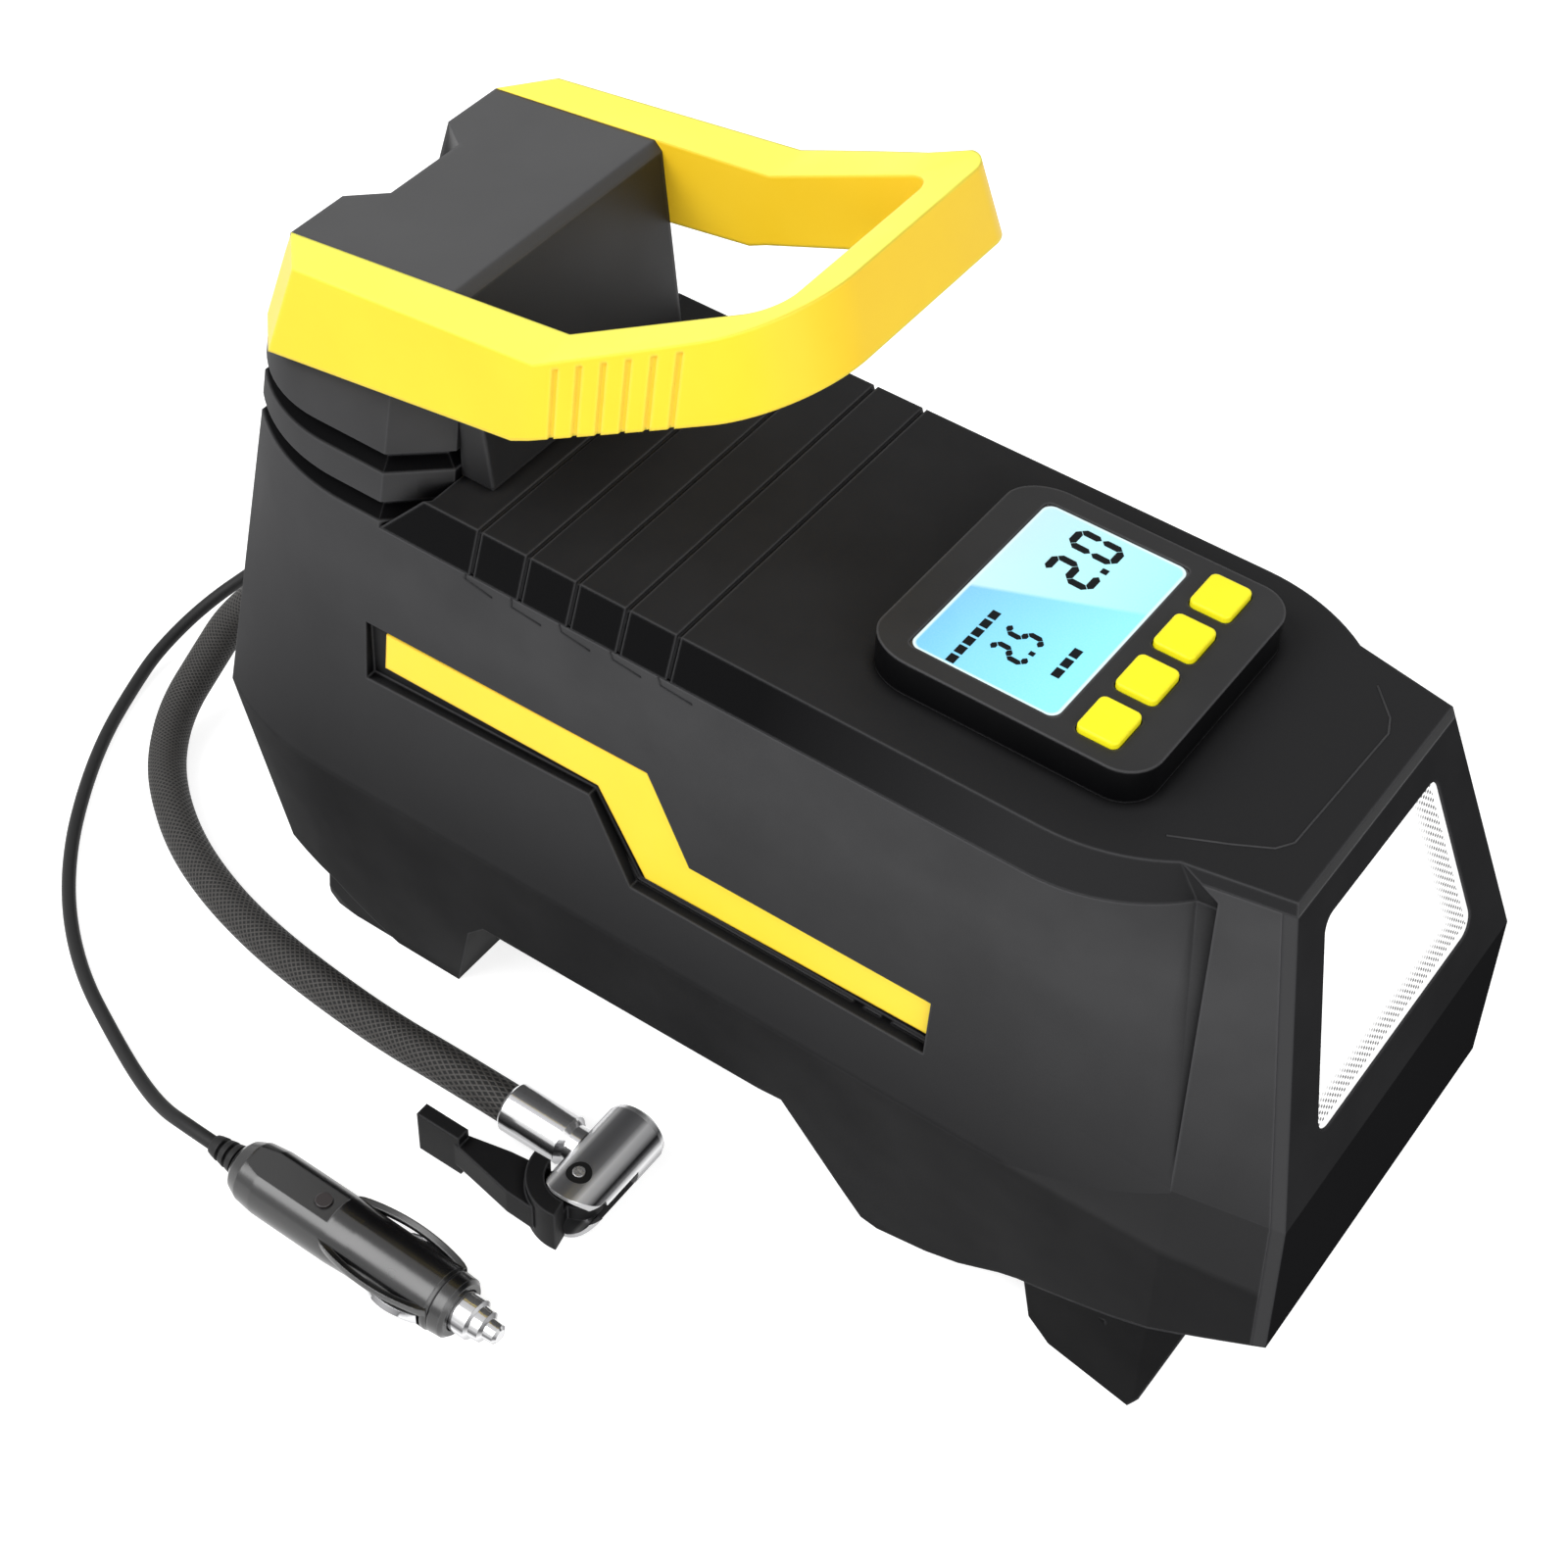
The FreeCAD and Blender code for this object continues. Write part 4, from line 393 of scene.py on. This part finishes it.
finishes = {name: plastic(name, look) for name, look in plastics.items()}
finishes.update({name: metal(name, look) for name, look in metals.items()})
slotFinish = {
    "case_grey": "caseGrey", "trim_black": "trimBlack", "yellow": "yellow",
    "display_black": "displayBlack", "key_yellow": "keyYellow", "board": "board",
    "rubber_black": "rubber", "wire_red": "wireRed", "steel": "steel", "reflector": "chrome",
    "bright_chrome": "chrome", "alloy": "alloy", "brass": "brass", "nylon": "nylon",
    "seal_white": "nylon", "lamp_red": "lampDark", "window_clear": "lcdFace",
    "lcd_blue": "lcdFace", "lens_white": "lensFace",
}
nodeFinish = {
    "front_bezel": "bezelBlack", "top_deck": "deckBlack", "front_skid": "skidBlack",
    "handle_block": "blockBlack", "stripe_left": "stripeYellow", "stripe_right": "stripeYellow",
    "plug_body": "plugBlack", "plug_ring": "plugBlack", "chuck_body": "chuckChrome",
}


def paint(piece, material):
    piece.data.materials.clear()
    piece.data.materials.append(material)


def choose(piece):
    bpy.ops.object.select_all(action="DESELECT")
    piece.select_set(True)
    bpy.context.view_layer.objects.active = piece


def inEditMode(operator, **values):
    bpy.ops.object.mode_set(mode="EDIT")
    bpy.ops.mesh.select_all(action="SELECT")
    operator(**values)
    bpy.ops.object.mode_set(mode="OBJECT")


display = {
    "top": 0.0311, "bottom": 0.0649, "halfWidth": 0.0261, "corner": 0.0026,
    "lineX": 0.0329, "lineY": -0.0038, "lineSlope": 0.43, "lineEdge": 0.6 * mm,
    "paleTop": "c2edf7", "paleBottom": "9cecf6", "blueTop": "74c4ee", "blueBottom": "84e4f4",
    "rim": "def6fb", "rimFrom": (0.9 * mm, 0.4 * mm), "frame": "101011",
    "frameFrom": (0.15 * mm, 0.0), "weaveSize": 0.4 * mm, "weaveDetail": 2.0, "weave": 0.05,
    "roughness": (0.18, 0.24), "coat": 0.4, "coatRoughness": 0.05, "glow": 0.15,
}


def fromEdge(tree, down, across, look):
    # way to the rounded edge of the lit window
    middle, half = (look["top"] + look["bottom"]) / 2, (look["bottom"] - look["top"]) / 2
    down = sums(tree, "SUBTRACT", down, middle)
    out = []
    for value, size in ((across, look["halfWidth"]), (down, half)):
        past = sums(tree, "SUBTRACT", sums(tree, "ABSOLUTE", value), size - look["corner"])
        out.append(sums(tree, "MAXIMUM", past, 0.0))
    return sums(tree, "SUBTRACT", look["corner"], distance(tree, *out))


def lcdFace(look):
    material, tree, shader = newMaterial("lcdFace")
    place = split(tree, objectPlace(tree))
    down, across = place["X"], place["Y"]
    fade = stretch(tree, down, look["top"], look["bottom"])
    pale = blend(tree, fade, look["paleTop"], look["paleBottom"])
    blue = blend(tree, fade, look["blueTop"], look["blueBottom"])
    drop = sums(tree, "SUBTRACT", down, look["lineX"])
    line = sums(tree, "SUBTRACT", across, sums(tree, "MULTIPLY", drop, look["lineSlope"]))
    side = stretch(tree, line, look["lineY"] - look["lineEdge"], look["lineY"] + look["lineEdge"])
    colour = blend(tree, side, blue, pale)
    near = fromEdge(tree, down, across, look)
    colour = blend(tree, stretch(tree, near, *look["rimFrom"]), colour, look["rim"])
    colour = blend(tree, stretch(tree, near, *look["frameFrom"]), colour, look["frame"])
    weave = noise(tree, look["weaveSize"], look["weaveDetail"])
    colour = blend(tree, stretch(tree, weave, *shading["spread"], 0.0, look["weave"]), colour,
                   "ffffff")
    tree.links.new(colour, shader.inputs["Base Color"])
    tree.links.new(stretch(tree, weave, *shading["spread"], *look["roughness"]),
                   shader.inputs["Roughness"])
    shader.inputs["Coat Weight"].default_value = look["coat"]
    shader.inputs["Coat Roughness"].default_value = look["coatRoughness"]
    tree.links.new(colour, shader.inputs["Emission Color"])
    shader.inputs["Emission Strength"].default_value = look["glow"]
    return material


finishes["lcdFace"] = lcdFace(display)

lampLens = {
    "topZ": 0.161, "slope": 0.9613, "first": 0.0113, "last": 0.0595, "halfTop": 0.0232,
    "spread": 0.2365, "rim": 0.002, "rimEdge": 0.1 * mm, "rimShade": 0.12, "band": 0.009,
    "solid": 0.45, "pitch": 0.0009, "dotFrom": (0.02, 0.25), "white": "fafafa", "dot": "161616",
    "mottleSize": 3 * mm, "roughness": (0.16, 0.26), "depth": 0.15 * mm, "relief": 0.4,
    # the glow is painted light: the lens shines brighter than its lighting makes it
    "edgeRadius": 0.5 * mm, "coat": 0.3, "glow": 0.5,
}


def lensFace(look):
    # staggered prism dots along the lower and far edges, inside a plain rim
    material, tree, shader = newMaterial("lensFace")
    place = split(tree, objectPlace(tree))
    across = place["Y"]
    down = sums(tree, "DIVIDE", sums(tree, "SUBTRACT", look["topZ"], place["Z"]), look["slope"])
    growth = sums(tree, "MULTIPLY", sums(tree, "SUBTRACT", down, look["first"]), look["spread"])
    width = sums(tree, "ADD", look["halfTop"], growth)
    near = sums(tree, "MINIMUM", sums(tree, "SUBTRACT", width, across),
                sums(tree, "SUBTRACT", look["last"], down))
    rim = look["rim"]
    inside = stretch(tree, near, rim - look["rimEdge"], rim + look["rimEdge"])
    fading = stretch(tree, near, rim + look["band"] * look["solid"], rim + look["band"], 1.0, 0.0)
    wave = math.pi / look["pitch"]
    waves = [sums(tree, "SINE", sums(tree, "MULTIPLY", way, wave)) for way in (down, across)]
    dots = stretch(tree, sums(tree, "MULTIPLY", *waves), *look["dotFrom"])
    amount = sums(tree, "MULTIPLY", sums(tree, "MULTIPLY", inside, fading), dots)
    shade = blend(tree, amount, look["white"], look["dot"])
    shade = blend(tree, sums(tree, "MULTIPLY", inside, look["rimShade"]), shade, look["dot"])
    tree.links.new(shade, shader.inputs["Base Color"])
    tree.links.new(stretch(tree, noise(tree, look["mottleSize"]), *shading["spread"],
                           *look["roughness"]), shader.inputs["Roughness"])
    bump(tree, shader, amount, look["depth"], look["relief"],
         softNormal(tree, look["edgeRadius"]))
    shader.inputs["Coat Weight"].default_value = look["coat"]
    # painted light: the lens glows in its own colours, brighter than its lighting makes it
    tree.links.new(shade, shader.inputs["Emission Color"])
    shader.inputs["Emission Strength"].default_value = look["glow"]
    return material


finishes["lensFace"] = lensFace(lampLens)

for part in frame["record"]["subparts"]:
    finish = nodeFinish.get(part["node"], slotFinish[part["material_slot"]])
    paint(nodes[part["node"]], finishes[finish])
print("finishes painted")


# the plug's side contacts as smooth bows, and the wings of its grip

bow = {
    "rear": (-0.088, -0.1185), "along": (0.999945, -0.010472), "first": 0.0528, "last": 0.0682,
    "root": 0.0080, "out": 0.0104, "low": 0.0068, "high": 0.0100, "thick": 0.0006, "steps": 18,
    "round": 0.0008, "swell": 0.7, "smooth": 40,
}
wing = {"first": 0.0385, "last": 0.0705, "root": 0.0072, "out": 0.0102, "low": 0.0106,
        "high": 0.0128, "thick": 0.0016, "steps": 24, "round": 0.0004}


def contactBow(name, side, settings):
    along = Vector(settings["along"])
    across = Vector((-along.y, along.x)) * side
    span = settings["last"] - settings["first"]
    bpy.ops.object.select_all(action="DESELECT")
    bpy.ops.mesh.primitive_grid_add(x_subdivisions=settings["steps"], y_subdivisions=2, size=1)
    piece = bpy.context.object
    piece.name = name
    for point in piece.data.vertices:
        share = point.co.x + 0.5
        rise = math.sin(math.pi * share) ** settings["swell"] if 0 < share < 1 else 0
        reach = settings["root"] + (settings["out"] - settings["root"]) * rise
        place = Vector(settings["rear"]) + along * (settings["first"] + span * share)
        place += across * (reach - settings["round"] * (point.co.y * 2) ** 2 * rise)
        height = settings["low"] + (settings["high"] - settings["low"]) * (point.co.y + 0.5)
        point.co = (place.x, place.y, height)
    wall = piece.modifiers.new("wall", "SOLIDIFY")
    wall.thickness = settings["thick"]
    wall.offset = -1 if side < 0 else 1
    bpy.ops.object.modifier_apply(modifier="wall")
    inEditMode(bpy.ops.mesh.normals_make_consistent, inside=False)
    bpy.ops.object.transform_apply(location=True, rotation=True, scale=True)
    bpy.ops.object.shade_smooth_by_angle(angle=math.radians(settings["smooth"]))
    return piece


for side, name in ((1, "plugWingLeft"), (-1, "plugWingRight")):
    piece = contactBow(name, side, {**bow, **wing})
    paint(piece, finishes["plugBlack"])
    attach(piece, "case")
for side, body in ((1, "contact_left"), (-1, "contact_right")):
    piece = contactBow("contactBow" + ("Left" if side > 0 else "Right"), side, bow)
    paint(piece, finishes["chrome"])
    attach(piece, body)
    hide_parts("plug_" + body)
print("contact bows placed")


# hose and power cord, each one smooth line

hose = {
    "points": [
        (-0.155, 0.012, 0.042), (-0.1694, 0.012, 0.042), (-0.1824, 0.0089, 0.0362),
        (-0.1909, 0.0026, 0.0263), (-0.1936, -0.0067, 0.0156), (-0.1928, -0.0196, 0.009),
        (-0.1865, -0.0315, 0.00505), (-0.176, -0.0417, 0.00505), (-0.1606, -0.0518, 0.00505),
        (-0.143, -0.0588, 0.00505), (-0.124, -0.0634, 0.00505), (-0.104, -0.0659, 0.00505),
        (-0.080, -0.0674, 0.00505), (-0.058, -0.0685, 0.0081), (-0.040, -0.0685, 0.0081)],
    "radius": 0.005,
    "braid": {"turns": 153, "strands": 20, "dark": "0e0e0f", "light": "3b3937",
              "ridge": (-0.2, 1.0), "roughness": (0.75, 0.5), "depth": 0.25 * mm,
              "relief": 0.6, "specular": 0.35},
}
lead = {
    "points": [
        (-0.160, 0.028, 0.042), (-0.1761, 0.028, 0.042), (-0.1914, 0.0296, 0.0344),
        (-0.2029, 0.0258, 0.0207), (-0.2128, 0.0128, 0.0106), (-0.2155, -0.004, 0.0043),
        (-0.213, -0.0166, 0.00185), (-0.2065, -0.034, 0.00185), (-0.197, -0.0515, 0.00185),
        (-0.185, -0.069, 0.00185), (-0.170, -0.0848, 0.00185), (-0.1525, -0.0974, 0.00185),
        (-0.1335, -0.1062, 0.00185), (-0.119, -0.1124, 0.0026), (-0.107, -0.1166, 0.005),
        (-0.0965, -0.11841, 0.0084), (-0.088, -0.1185, 0.0084)],
    "radius": 0.0018,
}
tube = {"order": 3, "steps": 16, "sides": 8}


def braidFace(look):
    material, tree, shader = newMaterial("hoseBraid")
    place = split(tree, addNode(tree, "ShaderNodeTexCoord").outputs["UV"])
    along = sums(tree, "MULTIPLY", place["X"], 2 * math.pi * look["turns"])
    around = sums(tree, "MULTIPLY", place["Y"], 2 * math.pi * look["strands"])
    ways = [sums(tree, "SINE", sums(tree, way, along, around)) for way in ("ADD", "SUBTRACT")]
    height = stretch(tree, sums(tree, "MAXIMUM", *ways), *look["ridge"])
    tree.links.new(blend(tree, height, look["dark"], look["light"]),
                   shader.inputs["Base Color"])
    tree.links.new(stretch(tree, height, 0.0, 1.0, *look["roughness"]),
                   shader.inputs["Roughness"])
    bump(tree, shader, height, look["depth"], look["relief"])
    shader.inputs["Specular IOR Level"].default_value = look["specular"]
    return material


finishes["hoseBraid"] = braidFace(hose["braid"])


def smoothLine(name, settings):
    curve = bpy.data.curves.new(name, "CURVE")
    curve.dimensions = "3D"
    spline = curve.splines.new("NURBS")
    spline.points.add(len(settings["points"]) - 1)
    for point, place in zip(spline.points, settings["points"]):
        point.co = (*place, 1)
    spline.order_u = tube["order"]
    spline.use_endpoint_u = True
    spline.resolution_u = tube["steps"]
    curve.bevel_depth = settings["radius"]
    curve.bevel_resolution = tube["sides"]
    curve.use_fill_caps = True
    line = bpy.data.objects.new(name, curve)
    scene.collection.objects.link(line)
    return line


hoseLine = smoothLine("hoseLine", hose)
paint(hoseLine, finishes["hoseBraid"])
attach(hoseLine, "case")
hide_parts("air_hose")
leadLine = smoothLine("leadLine", lead)
paint(leadLine, finishes["rubber"])
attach(leadLine, "case")
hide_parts("power_cord")
print("hose and cord laid")


# handle with its tight far corner, and the display housing's rear end

handle = {
    "front": [(0.0108, 0.2226), (0.0056, 0.2389)],
    "half": 0.034, "halfHeight": 0.235, "draft": 0.12, "radius": 0.024, "tight": 0.007,
    "limbSlope": 0.2276, "sideMargin": 0.4 * mm, "frontMargin": 0.6 * mm, "skin": 1.5 * mm,
    "top": [(-0.0457, 0.2122), (0.0056, 0.2389)], "low": [(-0.050, 0.1926), (0.0108, 0.2226)],
}
housing = {"from": 0.034, "to": 0.026, "shift": 0.003, "window": 0.0305, "side": 0.0266}
copies = {"merge": 1e-5, "smooth": 28}


def onLine(ends, value, along=0):
    # second coordinate for a first one, or with along=1 the first for a second
    (a, b), (c, d) = ends
    if along:
        return a + (c - a) * (value - b) / (d - b)
    return b + (d - b) * (value - a) / (c - a)


def cleanCopy(name, node):
    piece = bpy.data.objects.new(name, nodes[node].data.copy())
    scene.collection.objects.link(piece)
    choose(piece)
    inEditMode(bpy.ops.mesh.remove_doubles, threshold=copies["merge"])
    return piece


def finishCopy(piece, node):
    choose(piece)
    bpy.ops.mesh.customdata_custom_splitnormals_clear()
    bpy.ops.object.shade_smooth_by_angle(angle=math.radians(copies["smooth"]))
    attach(piece, "case")
    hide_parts(node)


def handleHalf(settings, z):
    return settings["half"] + settings["draft"] * (settings["halfHeight"] - z)


def tightenCorner(piece, settings):
    # the far outer corner shrinks towards the meeting point of its two sides
    slope = math.atan(settings["limbSlope"])
    trim = settings["radius"] * math.tan((math.pi / 2 - slope) / 2)
    ratio = settings["tight"] / settings["radius"]
    moved = 0
    for point in piece.data.vertices:
        x, y, z = point.co
        front = onLine(settings["front"], z, along=1)
        half = handleHalf(settings, z)
        middle = Vector((front - settings["radius"], half - trim))
        if (y < half - trim - settings["sideMargin"]
                or x < front - trim * math.cos(slope) - settings["frontMargin"]):
            continue
        if (Vector((x, y)) - middle).length < settings["radius"] - settings["skin"]:
            continue
        upper = z > (onLine(settings["top"], x) + onLine(settings["low"], x)) / 2
        plane = settings["top"] if upper else settings["low"]
        newX = front + (x - front) * ratio
        newZ = z + onLine(plane, newX) - onLine(plane, x)
        newFront = onLine(settings["front"], newZ, along=1)
        newHalf = handleHalf(settings, newZ)
        point.co = (newFront + (x - front) * ratio, newHalf + (y - half) * ratio, newZ)
        moved += 1
    return moved


handleLoop = cleanCopy("handleLoop", "handle_loop")
print("handle corner points moved:", tightenCorner(handleLoop, handle))
finishCopy(handleLoop, "handle_loop")
displayHousing = cleanCopy("displayHousing", "display_housing")
for point in displayHousing.data.vertices:
    # only the outer wall moves, so the opening of the window stays where it is
    if point.co.x < housing["window"] or (point.co.x < housing["from"]
                                          and abs(point.co.y) > housing["side"]):
        reach = (housing["from"] - point.co.x) / (housing["from"] - housing["to"])
        point.co.x -= housing["shift"] * min(1, reach)
finishCopy(displayHousing, "display_housing")


# marks on the display: numbers of seven segments and plain bars

readout = {
    "surface": 0.1692, "sink": 0.02 * mm, "rise": 0.08 * mm, "gap": 0.12 * mm, "lean": 0.03,
    "room": 1.8, "dot": 0.9, "dotShift": 0.25, "filled": 0.78,
    "numbers": [
        {"text": "2.0", "top": 0.0403, "foot": 0.0519, "start": 0.0078, "end": 0.0235,
         "stroke": 0.0017},
        {"text": "2.5", "top": 0.0440, "foot": 0.0525, "start": -0.0180, "end": -0.0086,
         "stroke": 0.0013}],
    "bars": [
        {"x": 0.0402, "start": -0.0252, "end": -0.0070, "count": 6, "height": 0.0019},
        {"x": 0.0587, "start": -0.0163, "end": -0.0063, "count": 3, "height": 0.0019}],
}
segments = {"2": "abged", "0": "abcdef", "5": "afgcd"}


def addOutline(curve, corners):
    spline = curve.splines.new("POLY")
    spline.points.add(len(corners) - 1)
    for point, (x, y) in zip(spline.points, corners):
        point.co = (x, y, 0, 1)
    spline.use_cyclic_u = True


def segment(start, end, stroke, gap):
    # one bar with pointed ends
    run = Vector(end) - Vector(start)
    along = run.normalized()
    side = Vector((-along.y, along.x)) * stroke / 2
    tip = along * stroke / 2
    a, b = Vector(start) + along * gap, Vector(end) - along * gap
    return [a, a + tip + side, b - tip + side, b, b - tip - side, a + tip - side]


def dotOutline(curve, place, stroke, low, settings):
    size = stroke * settings["dot"]
    left = place - stroke * settings["room"] + settings["dotShift"] * size
    addOutline(curve, [(left, low), (left + size, low), (left + size, low + size),
                       (left, low + size)])


def numberOutlines(curve, number, settings):
    stroke = number["stroke"]
    room = stroke * settings["room"]
    width = (number["end"] - number["start"] - room) / 2
    low, high = -number["foot"] + stroke / 2, -number["top"] - stroke / 2
    middle = (low + high) / 2
    place = number["start"]
    for letter in number["text"]:
        if letter == ".":
            dotOutline(curve, place, stroke, -number["foot"], settings)
            continue
        left, right = place + stroke / 2, place + width - stroke / 2
        runs = {
            "a": ((left, high), (right, high)), "g": ((left, middle), (right, middle)),
            "d": ((left, low), (right, low)), "f": ((left, middle), (left, high)),
            "b": ((right, middle), (right, high)), "e": ((left, low), (left, middle)),
            "c": ((right, low), (right, middle)),
        }
        for key in segments[letter]:
            corners = segment(*runs[key], stroke, settings["gap"])
            addOutline(curve, [(x + settings["lean"] * (y - low), y) for x, y in corners])
        place += width + room


def barOutlines(curve, row, filled):
    step = (row["end"] - row["start"]) / row["count"]
    low, high = -row["x"] - row["height"] / 2, -row["x"] + row["height"] / 2
    for n in range(row["count"]):
        left = row["start"] + n * step
        right = left + step * filled
        addOutline(curve, [(left, low), (right, low), (right, high), (left, high)])


lineWeld = 1e-6


def fixInPlace(piece):
    choose(piece)
    bpy.ops.object.convert(target="MESH")
    bpy.ops.object.transform_apply(location=True, rotation=True, scale=True)
    inEditMode(bpy.ops.mesh.remove_doubles, threshold=lineWeld)
    return bpy.context.object


def flatMarks(name, settings):
    # drawn flat, then turned so that the tops of the numbers point at the handle
    curve = bpy.data.curves.new(name, "CURVE")
    curve.dimensions = "2D"
    curve.fill_mode = "BOTH"
    curve.extrude = settings["rise"] / 2
    for number in settings["numbers"]:
        numberOutlines(curve, number, settings)
    for row in settings["bars"]:
        barOutlines(curve, row, settings["filled"])
    piece = bpy.data.objects.new(name, curve)
    scene.collection.objects.link(piece)
    height = settings["surface"] - settings["sink"] + settings["rise"] / 2
    piece.matrix_world = (Matrix.Translation((0, 0, height))
                          @ Matrix.Rotation(math.pi / 2, 4, "Z"))
    return fixInPlace(piece)


lcdMarks = flatMarks("lcdMarks", readout)
paint(lcdMarks, finishes["lcdInk"])
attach(lcdMarks, "case")
print("display marked")


# moulded lines on the side panels and the deck

sideLines = {
    "hooks": [
        [(-62.6, 150.9), (-63.1, 149.7), (-61.0, 149.3), (-55.8, 148.4)],
        [(-50.6, 150.9), (-50.6, 148.7), (-42.9, 148.0)],
        [(-38.1, 150.9), (-37.6, 149.2), (-30.2, 148.2)],
        [(-25.0, 150.9), (-24.4, 149.2), (-17.2, 148.5)],
        [(-12.9, 150.9), (-12.2, 149.1), (-4.4, 148.5)]],
    "radius": 0.28 * mm, "sink": 0.08 * mm,
    "panel": {"half": 0.053, "low": 0.0685, "height": 0.0825, "draft": 0.005},
}
deckLine = {
    "points": [(94.0, -32.0), (105.0, -26.5), (112.0, -22.5), (114.3, -19.0), (115.3, 17.5),
               (113.6, 21.5), (107.5, 28.0)],
    "radius": 0.25 * mm, "sink": 0.08 * mm, "from": 0.3,
}
lineSides = 2


def lineCurve(name, runs, radius):
    curve = bpy.data.curves.new(name, "CURVE")
    curve.dimensions = "3D"
    for run in runs:
        spline = curve.splines.new("POLY")
        spline.points.add(len(run) - 1)
        for point, place in zip(spline.points, run):
            point.co = (*place, 1)
    curve.bevel_depth = radius
    curve.bevel_resolution = lineSides
    curve.use_fill_caps = True
    piece = bpy.data.objects.new(name, curve)
    scene.collection.objects.link(piece)
    return fixInPlace(piece)


def hookRuns(side, settings):
    panel = settings["panel"]
    runs = []
    for hook in settings["hooks"]:
        run = []
        for x, z in hook:
            rise = (z * mm - panel["low"]) / panel["height"]
            y = panel["half"] - panel["draft"] * rise - settings["sink"]
            run.append((x * mm, side * y, z * mm))
        runs.append(run)
    return runs


def deckRun(settings):
    run = []
    for x, y in settings["points"]:
        place = nodes["top_deck"].ray_cast((x * mm, y * mm, settings["from"]), (0, 0, -1))[1]
        run.append((x * mm, y * mm, place.z - settings["sink"]))
    return run


piece = lineCurve("deckLine", [deckRun(deckLine)], deckLine["radius"])
paint(piece, finishes["displayBlack"])
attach(piece, "case")
for side, name in ((-1, "hookLinesRight"), (1, "hookLinesLeft")):
    piece = lineCurve(name, hookRuns(side, sideLines), sideLines["radius"])
    paint(piece, finishes["trimBlack"])
    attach(piece, "case")
print("moulded lines added")


# floor, world and lights

studio = {
    "floorSize": 8, "floor": (0.6, 0.6, 0.6), "floorRoughness": 0.9, "floorGlow": 0.75,
    "white": (1, 1, 1, 1), "ambient": 0.55,
    "lights": {
        "keyLight": {"place": (-0.9, -1.3, 1.6), "target": (0, 0, 0.08), "size": 1.6,
                     "power": 36},
        "fillLight": {"place": (1.2, -0.8, 0.8), "target": (0, 0, 0.1), "size": 1.2,
                      "power": 13}},
}


def backgroundRay(tree):
    path = addNode(tree, "ShaderNodeLightPath").outputs
    direct = sums(tree, "MAXIMUM", path["Is Camera Ray"], path["Is Glossy Ray"])
    return sums(tree, "MAXIMUM", direct, path["Is Transmission Ray"])


def pickByRay(tree, other, seen):
    pick = addNode(tree, "ShaderNodeMixShader")
    tree.links.new(backgroundRay(tree), pick.inputs["Fac"])
    tree.links.new(other.outputs[0], pick.inputs[1])
    tree.links.new(seen.outputs[0], pick.inputs[2])
    return pick.outputs[0]


bpy.ops.mesh.primitive_plane_add(size=studio["floorSize"], location=(0, 0, 0))
floor = bpy.context.object
floor.name = "studioFloor"
floorMaterial, tree, shader = newMaterial("studioFloor")
shader.inputs["Base Color"].default_value = (*studio["floor"], 1)
shader.inputs["Roughness"].default_value = studio["floorRoughness"]
glow = addNode(tree, "ShaderNodeEmission", Strength=studio["floorGlow"])
glow.inputs["Color"].default_value = studio["white"]
dark = addNode(tree, "ShaderNodeEmission", Strength=0.0)
total = addNode(tree, "ShaderNodeAddShader")
tree.links.new(shader.outputs[0], total.inputs[0])
tree.links.new(pickByRay(tree, dark, glow), total.inputs[1])
tree.links.new(total.outputs[0], tree.nodes["Material Output"].inputs["Surface"])
paint(floor, floorMaterial)

world = bpy.data.worlds.new("studio")
scene.world = world
world.use_nodes = True
tree = world.node_tree
soft = tree.nodes["Background"]
soft.inputs["Color"].default_value = studio["white"]
soft.inputs["Strength"].default_value = studio["ambient"]
white = addNode(tree, "ShaderNodeBackground", Strength=1.0)
white.inputs["Color"].default_value = studio["white"]
tree.links.new(pickByRay(tree, soft, white), tree.nodes["World Output"].inputs["Surface"])


def areaLight(name, settings):
    data = bpy.data.lights.new(name, "AREA")
    data.size = settings["size"]
    data.energy = settings["power"]
    lamp = bpy.data.objects.new(name, data)
    scene.collection.objects.link(lamp)
    aim = Vector(settings["target"]) - Vector(settings["place"])
    lamp.matrix_world = (Matrix.Translation(settings["place"])
                         @ aim.to_track_quat("-Z", "Y").to_matrix().to_4x4())


for name, settings in studio["lights"].items():
    areaLight(name, settings)
scene.view_settings.view_transform = "Standard"
print("studio ready")
